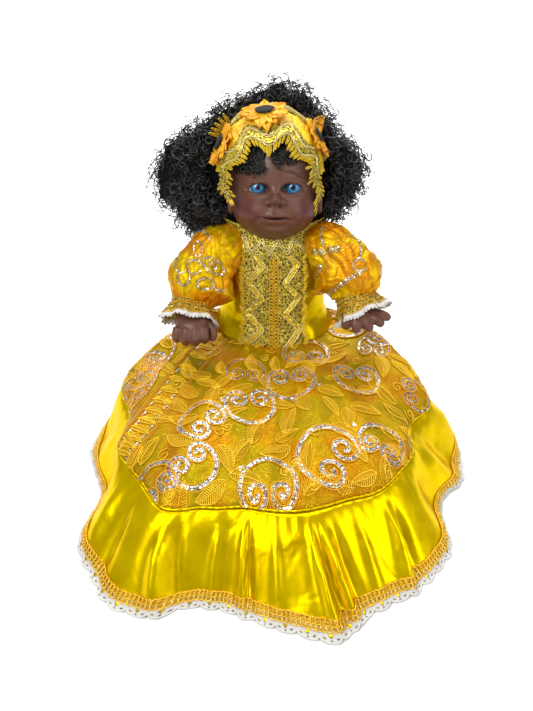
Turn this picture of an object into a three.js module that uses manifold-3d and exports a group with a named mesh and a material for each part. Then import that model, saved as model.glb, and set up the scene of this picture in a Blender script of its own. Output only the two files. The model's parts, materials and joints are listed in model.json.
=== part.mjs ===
// Dressed baby doll, seated, in millimetres.
// +Z is up and the doll faces -Y. The origin is on the floor under the doll's body.
// Angles around the body and the skirt are in degrees from straight ahead, towards the doll's left (+X).

import * as THREE from 'three';
import { mergeVertices } from 'three/addons/utils/BufferGeometryUtils.js';
import Module from 'manifold-3d';

const wasm = await Module();
wasm.setup();

// Driving dimensions

const gap = 0.3; // clearance between pieces that touch

const waistHeight = 104;
const waistCentreY = -5;
const waistHalfWidth = 61;
const waistHalfDepth = 48;

const skirtCentreY = -140; // the skirt spreads forwards over the legs
const seamHeight = 78; // top edge of the seam between the two tiers
const seamBand = 7.6; // height of the upper tier's turned edge at the seam
const skirtSteps = 56; // around the skirt, closer together in front
const thighRise = 9; // how far the legs lift the upper tier
const sideRise = 15; // how far the cloth stands up at the sides

const satinEnd = 0.76; // along the lower tier, 0 at the seam and 1 at the lace's edge
const braidEnd = 0.87;
const laceThickness = 1.6;
const bodySides = 20; // around the body and the collar

const headCentre = new THREE.Vector3(1, 20, 285);
const headTilt = 20; // degrees, the face looks up
const skullHalf = new THREE.Vector3(50, 54, 60);
const jawDrop = 73; // the head's lower half is taller than its crown
const faceMiddle = 0.4; // X of the line down the face, in the head's own frame
const eyeSpacing = 18.9; // half the distance between the eyes
const eyeHeight = -11.5;
const eyeRadius = 11.7;
const eyeDepth = -33.6;
const lidHalfWidth = 9.6;
const lidHalfHeight = 5.6;
const earHalf = new THREE.Vector3(5, 8, 13.5);
const earPlace = new THREE.Vector3(50, 6, -27); // the left ear, from the line down the face
const neckRadius = 23;
const neckFoot = new THREE.Vector3(1, 17, 232);
const neckTop = new THREE.Vector3(1, 21, 262);

const bandCentreX = -5;
const bandHalf = new THREE.Vector3(57, 60, 68); // the headband lies on this ellipsoid
const bandBack = 4; // the band's back edge, in the head's own frame
const bandSweep = 86; // degrees to each side of the crown
const bandThickness = 2.6;
const trimHeight = bandThickness + 1.3; // the laces' undersides over the band's inner face
const frontLaceFrom = -106; // the front lace hangs beside the cheeks, further than the band reaches
const frontLaceTo = 116;
const frontLaceOverhang = 6;
const frontLaceOnBand = 13;
const backLaceWidth = 14;
const backLaceLift = 5; // its edge stands off the hair

const forearmRadius = 18.5;
const palmRadius = 12;
const fingerRadius = 5.4;

// Cuffs: place along the arm, radius and depth of the waves, from the sleeve's end to the edge

const cuffRows = [[0.6, 20.5, 0], [14, 27, 1.4]];
const cuffThickness = 2;
const cuffLaceRows = [[14.4, 27.2, 1.4], [21, 31, 2]];
const cuffLaceThickness = 1.4;

// Outlines around the skirt: angle in degrees, distance from the skirt's centre

const seamOutline = [
  [-180, 190], [-150, 178], [-122, 172], [-105, 189], [-94, 163], [-85, 160], [-71, 177], [-60, 170],
  [-54, 168], [-38, 176], [-27, 151], [-12, 137], [12, 142], [28, 143], [43, 155], [56, 156],
  [67, 160], [83, 147], [94, 181], [106, 182], [122, 172], [150, 178],
];
const hemOutline = [
  [-180, 222], [-150, 208], [-125, 206], [-108, 216], [-91, 224], [-84, 204], [-72, 202], [-60, 241],
  [-50, 247], [-40, 259], [-30, 247], [-21, 212], [-13, 210], [-4, 219], [4, 229], [10, 240],
  [15, 251], [21, 231], [28, 227], [34, 229], [40, 236], [46, 228], [54, 231], [65, 202],
  [74, 197], [80, 222], [92, 224], [108, 214], [125, 206], [150, 208],
];

// Outline of the wig seen from the front: angle from +X towards +Z, distance from its middle

const wigOutline = [
  [-180, 123], [-161, 124], [-146, 125], [-128, 110], [-90, 78], [-50, 92], [-30, 113], [-14, 118],
  [0, 119], [16, 112], [36, 102], [55, 100], [70, 107], [83, 103], [96, 89], [113, 83], [134, 87],
  [152, 99], [166, 112],
];
const wigMiddle = new THREE.Vector3(-15, 4, 4); // in the head's own frame
const wigBack = 82;
const faceOpening = 38;

// The body's stations: height, centre in Y, half width, half depth

const bodyStations = [
  [waistHeight + gap, waistCentreY, waistHalfWidth, waistHalfDepth],
  [128, -1, 59, 46],
  [156, 4, 61, 46],
  [184, 9, 63, 44],
  [204, 13, 61, 40],
  [217, 15, 56, 36],
  [227, 17, 47, 31],
  [234, 18, 37, 27],
];
const collarHeights = [206, 217, 227, 234];
const collarInside = 0.4; // from the bodice to the collar's inner and outer faces
const collarOutside = 2.8;
const plastronHalfAngle = 43;
const plastronRise = 2.2; // how far its face stands off the bodice
const faceColumns = 24;
const faceHeights = [ // of the rows of facets, closer together at the nose and the mouth
  60, 50, 34, 18, 6, -3, -10, -16, -21, -26, -31, -35.5, -39, -42.3, -46, -50, -55, -60, -66, -73,
];

// Materials

function finish(color, roughness, metalness = 0) {
  return new THREE.MeshStandardMaterial({ color, roughness, metalness });
}

const vinyl = finish(0x4a2a22, 0.45);
const eyeGlaze = finish(0x2a7fc4, 0.1);
const hair = finish(0x0b0a0a, 0.6);
const satin = finish(0xf4d800, 0.3);
const embroidered = finish(0xe8a013, 0.6);
const goldLace = finish(0xb89a26, 0.4, 0.5);
const petal = finish(0xf59a12, 0.7);
const blackDisc = finish(0x15130f, 0.8);
const whiteLace = finish(0xf2f0ea, 0.8);

// Helpers

const degrees = Math.PI / 180;

function gauss(value, centre, width) {
  const t = (value - centre) / width;
  return Math.exp(-t * t);
}

function smooth(from, to, value) {
  return THREE.MathUtils.smoothstep(value, from, to);
}

// Reads an outline at an angle, with a smooth crest or valley at each of its points.
function around(outline, angle) {
  const turned = ((((angle + 180) % 360) + 360) % 360) - 180;
  const after = outline.findIndex(([at]) => at > turned);
  const next = after < 0 ? [outline[0][0] + 360, outline[0][1]] : outline[after];
  const last = outline[(after < 0 ? outline.length : after) - 1];
  return THREE.MathUtils.lerp(last[1], next[1], smooth(last[0], next[0], turned));
}

// Moves every vertex of a geometry and leaves one closed indexed mesh of bare positions.
function reshape(geometry, place) {
  geometry.deleteAttribute('normal');
  geometry.deleteAttribute('uv');
  const positions = geometry.getAttribute('position');
  const point = new THREE.Vector3();
  for (let i = 0; i < positions.count; i += 1) {
    point.fromBufferAttribute(positions, i);
    place(point);
    positions.setXYZ(i, point.x, point.y, point.z);
  }
  return facingOut(mergeVertices(geometry, 1e-3));
}

// Six times the volume that the triangles enclose, negative when they face inwards.
function signedVolume(geometry) {
  const positions = geometry.getAttribute('position');
  const corner = [0, 1, 2].map(() => new THREE.Vector3());
  let total = 0;
  for (let i = 0; i < geometry.index.count; i += 3) {
    corner.forEach((vertex, k) => vertex.fromBufferAttribute(positions, geometry.index.getX(i + k)));
    total += corner[0].dot(corner[1].cross(corner[2]));
  }
  return total;
}

// Drops triangles that merging has closed up and turns an inside-out mesh the right way round.
function facingOut(geometry) {
  const inward = signedVolume(geometry) < 0;
  const index = [];
  for (let i = 0; i < geometry.index.count; i += 3) {
    const [a, b, c] = [0, 1, 2].map((k) => geometry.index.getX(i + k));
    if (a !== b && b !== c && c !== a) {
      index.push(...(inward ? [a, c, b] : [a, b, c]));
    }
  }
  geometry.setIndex(index);
  return geometry;
}

function solid(geometry) {
  return new wasm.Manifold(new wasm.Mesh({
    numProp: 3,
    vertProperties: new Float32Array(geometry.getAttribute('position').array),
    triVerts: new Uint32Array(geometry.index.array),
  }));
}

function geometryOf(manifold) {
  const cut = manifold.getMesh();
  const geometry = new THREE.BufferGeometry();
  geometry.setAttribute('position', new THREE.BufferAttribute(new Float32Array(cut.vertProperties), 3));
  geometry.setIndex(new THREE.BufferAttribute(new Uint32Array(cut.triVerts), 1));
  return geometry;
}

function less(geometry, ...cutters) {
  let result = solid(geometry);
  for (const cutter of cutters) {
    result = result.subtract(solid(cutter));
  }
  return geometryOf(result);
}

// Keeps the largest body, without the crumbs that a cut leaves between its neighbours.
function largest(geometry) {
  const bodies = solid(geometry).decompose();
  bodies.sort((a, b) => b.volume() - a.volume());
  return geometryOf(bodies[0]);
}

function joined(...parts) {
  const [first, ...rest] = parts.map(solid);
  return geometryOf(rest.reduce((sum, part) => sum.add(part), first));
}

// A closed body like a drum: place gets the angle, the height 0 to 1 and how far out on the caps, 0 to 1.
function drum(segments, rows, place) {
  return reshape(new THREE.CylinderGeometry(1, 1, 1, segments, rows), (point) => {
    const outwards = Math.min(1, Math.hypot(point.x, point.z));
    const angle = outwards > 0 ? Math.atan2(point.x, point.z) / degrees : 0;
    place(point, angle, point.y + 0.5, outwards);
  });
}

// A closed ring: place gets the angle, how far along its width and how far through its thickness.
function hoop(segments, rows, place) {
  const across = [];
  for (let i = 0; i <= rows; i += 1) {
    across.push(new THREE.Vector2(2, i / rows));
  }
  for (let i = rows; i >= 0; i -= 1) {
    across.push(new THREE.Vector2(3, i / rows));
  }
  across.push(across[0].clone());
  return reshape(new THREE.LatheGeometry(across, segments), (point) => {
    const radius = Math.hypot(point.x, point.z);
    place(point, Math.atan2(point.x, point.z) / degrees, point.y, radius - 2);
  });
}

// A closed bent plate: place gets the fractions across, up and through.
function plate(columns, rows, place) {
  return reshape(new THREE.BoxGeometry(1, 1, 1, columns, rows, 1), (point) => {
    place(point, point.x + 0.5, point.y + 0.5, point.z + 0.5);
  });
}

function ellipsoid(half, columns, rows, centre = new THREE.Vector3()) {
  return reshape(new THREE.SphereGeometry(1, columns, rows), (point) => {
    point.set(point.x, -point.z, point.y).multiply(half).add(centre);
  });
}

// A closed tube through some points: reach gives its radius from the fraction along and the angle.
function tube(points, sides, rows, reach) {
  const line = new THREE.CatmullRomCurve3(points);
  const { normals, binormals } = line.computeFrenetFrames(rows, false);
  return drum(sides, rows, (point, angle, height, outwards) => {
    const row = Math.round((1 - height) * rows);
    const radius = reach(row / rows, angle) * outwards;
    line.getPointAt(row / rows, point);
    point.addScaledVector(normals[row], radius * Math.sin(angle * degrees));
    point.addScaledVector(binormals[row], radius * Math.cos(angle * degrees));
  });
}

// A round bar with bluntly domed ends from one point to another.
function bar(from, to, radius, sides) {
  const length = from.distanceTo(to);
  const profile = [
    new THREE.Vector2(0, -radius),
    new THREE.Vector2(0.9 * radius, -0.4 * radius),
    new THREE.Vector2(0.9 * radius, length + 0.4 * radius),
    new THREE.Vector2(0, length + radius),
  ];
  const turned = new THREE.Quaternion().setFromUnitVectors(
    new THREE.Vector3(0, 1, 0),
    to.clone().sub(from).normalize(),
  );
  return reshape(new THREE.LatheGeometry(profile, sides), (point) => {
    point.applyQuaternion(turned).add(from);
  });
}

// The head's own frame: +X to the doll's left, +Y to the back of the head, +Z along the face

const headTurn = new THREE.Quaternion().setFromAxisAngle(new THREE.Vector3(1, 0, 0), -headTilt * degrees);

function fromHead(point) {
  return point.applyQuaternion(headTurn).add(headCentre);
}

function inHead(geometry) {
  return reshape(geometry, fromHead);
}

// Skirt

function skirtPoint(point, angle, distance, height) {
  const turn = angle * degrees;
  return point.set(distance * Math.sin(turn), skirtCentreY - distance * Math.cos(turn), height);
}

function closerInFront(angle) {
  return angle - 17 * Math.sin(angle * degrees);
}

function upperTier() {
  const rows = 4;
  return drum(skirtSteps, rows, (point, step, height, outwards) => {
    const angle = closerInFront(step);
    const turn = angle * degrees;
    const band = height < 0.5 / rows;
    const along = band ? 1 : (1 - height) / (1 - 1 / rows);
    const seam = around(seamOutline, angle);
    const x = THREE.MathUtils.lerp(waistHalfWidth * Math.sin(turn), seam * Math.sin(turn), along);
    const waistY = waistCentreY - waistHalfDepth * Math.cos(turn);
    const y = THREE.MathUtils.lerp(waistY, skirtCentreY - seam * Math.cos(turn), along);
    const legs = gauss(angle, -30, 24) + gauss(angle, 30, 24);
    const sides = gauss(Math.abs(angle), 116, 26);
    const rise = (thighRise * legs + sideRise * sides) * Math.sin(Math.PI * Math.min(1, along));
    const drop = (waistHeight - seamHeight) * along ** 2;
    const level = band ? seamHeight - seamBand + gap : waistHeight - drop + rise;
    const middleY = height > 0.5 ? waistCentreY : skirtCentreY;
    point.set(x * outwards, THREE.MathUtils.lerp(middleY, y, outwards), level);
  });
}

function tierSurface(point, angle, along) {
  const seam = around(seamOutline, angle) - 1;
  const distance = THREE.MathUtils.lerp(seam, around(hemOutline, angle), along ** 0.75);
  const top = seamHeight - seamBand;
  const height = Math.max(laceThickness, top * (1 - along) ** 1.25);
  return skirtPoint(point, angle, distance, height);
}

function lowerTier() {
  const rows = 3;
  return drum(skirtSteps, rows, (point, step, height, outwards) => {
    const atFloor = height < 0.5 / rows;
    const along = atFloor ? satinEnd : (satinEnd * (1 - height)) / (1 - 1 / rows);
    tierSurface(point, closerInFront(step), along);
    if (atFloor) {
      point.z = 0;
    }
    point.x *= outwards;
    point.y = THREE.MathUtils.lerp(skirtCentreY, point.y, outwards);
  });
}

// A trim that lies round the tier's foot from one place along it to another, down to the floor.
function hemTrim(from, to) {
  return hoop(skirtSteps, 1, (point, step, across, through) => {
    tierSurface(point, closerInFront(step), across < 0.5 ? from : to);
    if (across < 0.5) {
      point.add(new THREE.Vector3(point.x, point.y - skirtCentreY, 0).setLength(1.6 * gap));
    }
    if (through < 0.5) {
      point.z = 0;
    }
  });
}

// Bodice and what lies on it

function bodyStation(height) {
  const after = Math.max(1, bodyStations.findIndex(([at]) => at >= height - 1e-6));
  const lower = bodyStations[after - 1];
  const upper = bodyStations[after];
  const t = (height - lower[0]) / (upper[0] - lower[0]);
  return lower.map((value, k) => THREE.MathUtils.lerp(value, upper[k], t));
}

function bodyPoint(point, angle, height, grow = 0) {
  const [, centreY, halfWidth, halfDepth] = bodyStation(height);
  const turn = angle * degrees;
  return point.set(
    (halfWidth + grow) * Math.sin(turn),
    centreY - (halfDepth + grow) * Math.cos(turn),
    height,
  );
}

function body(grow = 0) {
  const rows = bodyStations.length - 1;
  return drum(bodySides, rows, (point, angle, height, outwards) => {
    const station = bodyStations[Math.round(height * rows)];
    bodyPoint(point, angle, station[0], grow);
    point.x *= outwards;
    point.y = THREE.MathUtils.lerp(station[1], point.y, outwards);
  });
}

function neck(grow = 0) {
  return bar(neckFoot, neckTop, neckRadius + grow, 10);
}

function collar(grow = 0) {
  const rows = collarHeights.length - 1;
  return hoop(bodySides, rows, (point, angle, across, through) => {
    const out = through < 0.5 ? collarInside - grow : collarOutside + grow;
    bodyPoint(point, angle, collarHeights[Math.round(across * rows)], out);
  });
}

function plastron() {
  const between = bodyStations.slice(1, 4).map(([height]) => height);
  const heights = [waistHeight + 1, ...between, collarHeights[0] - gap];
  return plate(6, heights.length - 1, (point, across, up, through) => {
    const side = 2 * across - 1;
    const height = heights[Math.round(up * (heights.length - 1))];
    const halfAngle = THREE.MathUtils.lerp(plastronHalfAngle - 6, plastronHalfAngle, up);
    bodyPoint(point, side * halfAngle, height, through < 0.5 ? -1 : plastronRise);
  });
}

// Head

function faceShape(point) {
  const x = point.x;
  const z = point.z;
  const side = Math.abs(x - faceMiddle);
  const front = smooth(0, 26, -point.y);
  const cheeks = 5.5 * gauss(side, 29, 15) * gauss(z, -36, 15);
  const sockets = -4.2 * gauss(side, eyeSpacing, 12) * gauss(z, eyeHeight + 1, 8);
  const bridge = 2.2 * gauss(side, 0, 7) * gauss(z, -10, 9);
  const nose = 9.5 * gauss(side, 0, 6.5) * gauss(z, -23.5, 6.2);
  const nostrils = 4.2 * gauss(side, 7.6, 4) * gauss(z, -26, 4);
  const muzzle = 5.2 * gauss(side, 0, 15) * gauss(z, -41, 10);
  const lips = 2.2 * gauss(side, 0, 9) * (gauss(z, -38.6, 2.4) + gauss(z, -46.2, 2.6));
  const mouthLine = -2.6 * gauss(side, 0, 14) * gauss(z, -42.3, 1.8);
  const chin = 5.4 * gauss(side, 0, 13) * gauss(z, -58, 7);
  const forward = cheeks + sockets + bridge + nose + nostrils + muzzle + lips + mouthLine + chin;
  point.y -= front * forward;
  point.x *= 1 + 0.11 * gauss(z, -50, 21);
}

function face() {
  const rows = faceHeights.length - 1;
  return reshape(new THREE.SphereGeometry(1, faceColumns, rows), (point) => {
    const turn = Math.atan2(point.x, point.z);
    const warped = turn - 0.42 * Math.sin(turn);
    const height = faceHeights[Math.round((Math.acos(point.y) / Math.PI) * rows)];
    const level = Math.sqrt(1 - (height / (height < 0 ? jawDrop : skullHalf.z)) ** 2);
    point.set(skullHalf.x * level * Math.sin(warped), -skullHalf.y * level * Math.cos(warped), height);
    faceShape(point);
  });
}

// A plain round form that clears the head, for the hollows in its neighbours.
function scalp() {
  return ellipsoid(skullHalf.clone().setZ(jawDrop).addScalar(5.6), 12, 9);
}

function head() {
  const ears = [-1, 1].map((side) => ear(side, 0));
  const sculpted = inHead(joined(face(), ...ears));
  const sockets = [-1, 1].flatMap((side) => [
    inHead(eyeball(side, gap)),
    inHead(lidOpening(side)),
  ]);
  return less(joined(sculpted, neck()), ...sockets);
}

function ear(side, grow) {
  const centre = earPlace.clone().setX(faceMiddle + side * earPlace.x);
  return ellipsoid(earHalf.clone().addScalar(grow), 8, 6, centre);
}

function eyeCentre(side) {
  return new THREE.Vector3(faceMiddle + side * eyeSpacing, eyeDepth, eyeHeight);
}

function lidOpening(side) {
  const centre = eyeCentre(side);
  return reshape(new THREE.CylinderGeometry(1, 1, 1, 10, 1), (point) => {
    point.set(
      centre.x + point.x * lidHalfWidth,
      centre.y - 10 + point.y * 22,
      centre.z + point.z * lidHalfHeight,
    );
  });
}

function eyeball(side, grow = 0) {
  return ellipsoid(new THREE.Vector3().setScalar(eyeRadius + grow), 10, 6, eyeCentre(side));
}

// Wig

function hairline(x) {
  return 26 - 20 * gauss(x, -26, 12) - 9 * gauss(x, 17, 11);
}

function wig() {
  const outside = reshape(new THREE.SphereGeometry(1, 24, 12), (point) => {
    const direction = point.clone().set(point.x, -point.z, point.y);
    const sideways = Math.atan2(direction.z, direction.x) / degrees;
    const flat = Math.hypot(direction.x, direction.z);
    const reach = around(wigOutline, sideways);
    const lumps = 1 + 0.03 * Math.sin(direction.x * 15) * Math.cos(direction.z * 13 + direction.y * 9);
    const puff = lumps / Math.hypot(flat / reach, direction.y / wigBack);
    const cap = 1 / direction.clone().divide(bandHalf).length() - gap;
    const fromTop = Math.abs(Math.atan2(direction.x, direction.z)) / degrees;
    const parting = 0.06 - 0.28 * smooth(50, 85, fromTop) + 0.2 * smooth(98, 118, fromTop);
    const underBand = smooth(hairline(direction.x * 60) - 5, hairline(direction.x * 60) + 5, direction.z * 60);
    const front = THREE.MathUtils.lerp(faceOpening, cap, underBand);
    const back = smooth(parting - 0.06, parting + 0.08, direction.y);
    point.copy(direction).multiplyScalar(THREE.MathUtils.lerp(front, puff, back));
    point.addScaledVector(wigMiddle, back);
  });
  return inHead(outside);
}

// Headband

function bandPoint(point, sweep, y, grow) {
  const level = Math.sqrt(Math.max(0.02, 1 - (y / bandHalf.y) ** 2));
  const turn = sweep * degrees;
  point.set(
    bandCentreX + (bandHalf.x * level + grow) * Math.sin(turn),
    y - grow * (-y / bandHalf.y),
    (bandHalf.z * level + grow) * Math.cos(turn),
  );
  return fromHead(point);
}

function bandFront(sweep) {
  return -50 + 10 * gauss(Math.abs(sweep), 34, 16) + 20 * smooth(58, 92, Math.abs(sweep));
}

function headband() {
  return plate(18, 2, (point, across, along, through) => {
    const sweep = (2 * across - 1) * bandSweep;
    const y = THREE.MathUtils.lerp(bandFront(sweep), bandBack, along);
    bandPoint(point, sweep, y, through < 0.5 ? 0 : bandThickness);
  });
}

// Room for the band and its trims in the hair.
function bandClearance() {
  return plate(14, 2, (point, across, along, through) => {
    const sweep = THREE.MathUtils.lerp(frontLaceFrom - 2, frontLaceTo + 2, across);
    const y = THREE.MathUtils.lerp(bandFront(sweep) - 8, bandBack + 4, along);
    bandPoint(point, sweep, y, through < 0.5 ? -gap : trimHeight + 8);
  });
}

// The front lace lies on the band's edge and hangs past it; its ends hang beside the cheeks.
function headbandLace() {
  return plate(20, 2, (point, across, along, through) => {
    const sweep = THREE.MathUtils.lerp(frontLaceFrom, frontLaceTo, across);
    const y = bandFront(sweep) + THREE.MathUtils.lerp(-frontLaceOverhang, frontLaceOnBand, along);
    bandPoint(point, sweep, y, trimHeight + (through < 0.5 ? 0 : laceThickness));
  });
}

function backLace() {
  return plate(14, 1, (point, across, along, through) => {
    const sweep = (2 * across - 1) * (bandSweep - 8);
    const y = bandBack + 2 - backLaceWidth * (1 - along);
    const out = trimHeight + backLaceLift * along + (through < 0.5 ? 0 : laceThickness);
    bandPoint(point, sweep, y, out);
  });
}

// Sunflowers lie on the band like shallow dishes.

const flowerLift = bandThickness + 3;
const flowers = {
  centre: { sweep: -6, y: -26, radius: 29, disc: 10.5 },
  right: { sweep: -61, y: -16, radius: 26, disc: 9.5 },
  left: { sweep: 55, y: -12, radius: 25, disc: 9 },
};

function onBand(sweep, y, out) {
  const at = bandPoint(new THREE.Vector3(), sweep, y, out);
  const above = bandPoint(new THREE.Vector3(), sweep, y, out + 1);
  const outwards = above.sub(at).normalize();
  const turn = new THREE.Quaternion().setFromUnitVectors(new THREE.Vector3(0, 1, 0), outwards);
  return { at, turn };
}

const petalCount = 10;

function petals(place, grow = 0) {
  const { sweep, y, radius } = flowers[place];
  const { at, turn } = onBand(sweep, y, flowerLift - grow);
  return reshape(new THREE.CylinderGeometry(1, 1, 1, 2 * petalCount, 1), (point) => {
    const step = Math.round((Math.atan2(point.x, point.z) / Math.PI) * petalCount);
    const reach = (radius + grow) * (step % 2 ? 0.82 : 1);
    const away = Math.hypot(point.x, point.z);
    point.set(point.x * reach, (point.y + 0.5) * (1 + 2 * grow) + 1.5 * away, point.z * reach);
    point.applyQuaternion(turn).add(at);
  });
}

function disc(place, grow = 0) {
  const { sweep, y, disc: radius } = flowers[place];
  const { at, turn } = onBand(sweep, y, flowerLift + 2.6 + gap - grow);
  return reshape(new THREE.CylinderGeometry(radius + grow, radius + grow, 1.6 + 2 * grow, 14), (point) => {
    point.y += 0.8 + grow;
    point.applyQuaternion(turn).add(at);
  });
}

// Arms and sleeves

const sleeves = {
  right: {
    line: [[-43, 9, 212], [-67, -14, 203], [-86, -36, 181], [-94, -51, 163]],
    hand: [-91, -76, 154],
    wrist: [-93, -62, 158],
    frill: [-0.1, -0.75, -0.65],
  },
  left: {
    line: [[43, 9, 212], [67, -14, 207], [88, -36, 187], [92, -50, 169]],
    hand: [96, -73, 162],
    wrist: [95, -58, 167],
    frill: [0.4, -0.62, -0.68],
  },
};
const sleeveRadii = [22, 32, 36, 23];

function vector([x, y, z]) {
  return new THREE.Vector3(x, y, z);
}

function sleeve(side, grow = 0) {
  const gaps = sleeveRadii.length - 1;
  return tube(sleeves[side].line.map(vector), 20, 4, (along, angle) => {
    const k = Math.min(gaps - 1, Math.floor(along * gaps));
    const plain = THREE.MathUtils.lerp(sleeveRadii[k], sleeveRadii[k + 1], smooth(0, 1, along * gaps - k));
    const pleats = 1.4 * Math.cos(10 * angle * degrees) * (0.3 + Math.abs(2 * along - 1));
    return plain + pleats + grow;
  });
}

// A frill that opens from the end of the sleeve: rows give its place along the arm and its radius.
function frill(side, rows, thickness) {
  const from = vector(sleeves[side].line[3]);
  const towards = vector(sleeves[side].frill).normalize();
  const across = new THREE.Vector3(0, 0, 1).cross(towards).normalize();
  const up = towards.clone().cross(across);
  return hoop(16, rows.length - 1, (point, angle, width, through) => {
    const [along, reach, wave] = rows[Math.round(width * (rows.length - 1))];
    const turn = angle * degrees;
    const radius = reach + wave * Math.cos(6 * turn) + (through < 0.5 ? 0 : thickness);
    point.copy(from);
    point.addScaledVector(towards, along);
    point.addScaledVector(across, radius * Math.sin(turn));
    point.addScaledVector(up, radius * Math.cos(turn));
  });
}

// Each finger: where it leaves the palm and where its middle joint and tip are, from the palm's centre
// along the side of the thumb, forwards and up.

const closedHand = [
  [[-15, 12, 2], [-17, 20, -6], [-17, 15, -14]],
  [[-6, 14, 3], [-7, 24, -6], [-7, 18, -15]],
  [[4, 14, 3], [4, 25, -6], [4, 19, -15]],
  [[13, 12, 2], [14, 22, -6], [14, 16, -14]],
  [[17, -2, -2], [23, 10, -8], [22, 18, -14]],
];
const openHand = [
  [[-14, 8, 0], [-16, 13, -3], [-15, 16, -8]],
  [[-6, 12, 2], [-5, 18, -1], [-4, 23, -6]],
  [[4, 12, 3], [8, 18, 0], [11, 23, -4]],
  [[12, 9, 3], [20, 14, 2], [24, 17, -2]],
  [[16, 3, 2], [27, 7, 3], [33, 9, 1]],
];

// The arm grown a little makes its room in the sleeve and the cuff.
function arm(side, grow = 0) {
  const { hand, wrist, line } = sleeves[side];
  const palm = vector(hand);
  const forwards = new THREE.Vector3(0, -1, -0.25).normalize();
  const across = new THREE.Vector3(1, 0, 0);
  const up = forwards.clone().cross(across);
  const fromPalm = ([x, y, z]) => palm.clone()
    .addScaledVector(across, x)
    .addScaledVector(forwards, y)
    .addScaledVector(up, z);
  const forearm = [vector(line[2]), vector(wrist), palm];
  const pieces = [
    tube(forearm, 10, 3, (along) => forearmRadius * (1 - 0.25 * along ** 2) + grow),
    bar(fromPalm([-9, 2, -1]), fromPalm([9, 2, -1]), palmRadius + grow, 8),
  ];
  for (const joints of { right: closedHand, left: openHand }[side]) {
    pieces.push(tube(joints.map(fromPalm), 6, 4, (along) => fingerRadius * (1.1 - 0.5 * along ** 4) + grow));
  }
  return joined(...pieces);
}

// The doll

const doll = new THREE.Group();

function add(name, geometry, material) {
  const mesh = new THREE.Mesh(geometry, material);
  mesh.name = name;
  geometry.computeVertexNormals();
  doll.add(mesh);
}

add('skirt_upper', upperTier(), embroidered);
add('skirt_ruffle', lowerTier(), satin);
add('hem_braid', hemTrim(satinEnd, braidEnd), goldLace);
add('hem_lace', hemTrim(braidEnd, 1), whiteLace);

add('bodice', less(body(), neck(gap), inHead(scalp())), satin);
add('collar', less(collar(), neck(gap), inHead(scalp())), goldLace);
add('plastron', less(plastron(), body(gap)), goldLace);

const flowerRoom = Object.keys(flowers).flatMap((place) => [petals(place, gap), disc(place, gap)]);

add('head', head(), vinyl);
add('eye_right', inHead(eyeball(-1)), eyeGlaze);
add('eye_left', inHead(eyeball(1)), eyeGlaze);
add('wig', largest(less(
  wig(),
  inHead(scalp()),
  ...[-1, 1].map((side) => inHead(ear(side, gap))),
  bandClearance(),
  ...flowerRoom,
  neck(gap),
  body(gap),
  collar(gap),
  sleeve('right', gap),
  sleeve('left', gap),
)), hair);

add('headband', headband(), petal);
add('headband_lace', largest(less(headbandLace(), ...flowerRoom)), goldLace);
add('headband_back_lace', largest(less(backLace(), ...flowerRoom)), goldLace);

for (const side of ['right', 'left']) {
  add(`arm_${side}`, arm(side), vinyl);
  add(`sleeve_${side}`, largest(less(sleeve(side), body(plastronRise + 2 * gap), collar(gap), arm(side, gap))), embroidered);
  const cuff = frill(side, cuffRows, cuffThickness);
  add(`cuff_${side}`, largest(less(cuff, arm(side, gap), sleeve(side, gap))), goldLace);
  const cuffLace = frill(side, cuffLaceRows, cuffLaceThickness);
  add(`cuff_lace_${side}`, largest(less(cuffLace, arm(side, gap))), whiteLace);
}

for (const place of Object.keys(flowers)) {
  add(`sunflower_${place}`, petals(place), petal);
  add(`sunflower_${place}_disc`, disc(place), blackDisc);
}

export default doll;
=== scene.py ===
# %% [markdown]
# # A seated baby doll in a yellow satin dress
#
# The real doll has a vinyl head and vinyl hands, a wig of tight black curls, and a dress sewn from
# yellow satin, embroidered net, gold lace and sequins. The CAD solids give every piece its place and
# size. This notebook makes what is seen: each step is one piece or one finish of the doll, and its
# lengths are written in millimetres.

import json
import random
from math import atan2, cos, degrees, exp, hypot, pi, radians, sin, sqrt

import bmesh
import bpy
from mathutils import Matrix, Quaternion, Vector, noise
from mathutils.bvhtree import BVHTree

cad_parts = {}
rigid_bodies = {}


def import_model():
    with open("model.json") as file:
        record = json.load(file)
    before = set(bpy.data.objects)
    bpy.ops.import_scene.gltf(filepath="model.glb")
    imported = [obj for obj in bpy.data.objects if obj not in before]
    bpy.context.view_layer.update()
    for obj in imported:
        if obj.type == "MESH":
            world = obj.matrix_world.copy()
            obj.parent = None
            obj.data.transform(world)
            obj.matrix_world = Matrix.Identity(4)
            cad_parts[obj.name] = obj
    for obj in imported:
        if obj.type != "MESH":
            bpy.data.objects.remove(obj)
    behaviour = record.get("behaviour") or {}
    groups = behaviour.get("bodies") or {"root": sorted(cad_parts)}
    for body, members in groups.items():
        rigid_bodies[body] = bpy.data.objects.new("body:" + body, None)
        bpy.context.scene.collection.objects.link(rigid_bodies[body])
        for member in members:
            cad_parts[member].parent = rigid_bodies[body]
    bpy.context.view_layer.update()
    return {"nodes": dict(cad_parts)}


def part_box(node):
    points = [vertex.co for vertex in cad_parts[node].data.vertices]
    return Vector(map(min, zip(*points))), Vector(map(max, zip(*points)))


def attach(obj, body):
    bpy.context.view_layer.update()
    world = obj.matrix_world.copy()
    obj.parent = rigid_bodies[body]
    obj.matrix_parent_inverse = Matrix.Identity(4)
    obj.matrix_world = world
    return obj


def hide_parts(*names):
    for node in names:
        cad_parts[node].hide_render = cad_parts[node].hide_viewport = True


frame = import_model()
MM = 0.001
print("CAD solids:", len(frame["nodes"]))

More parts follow.
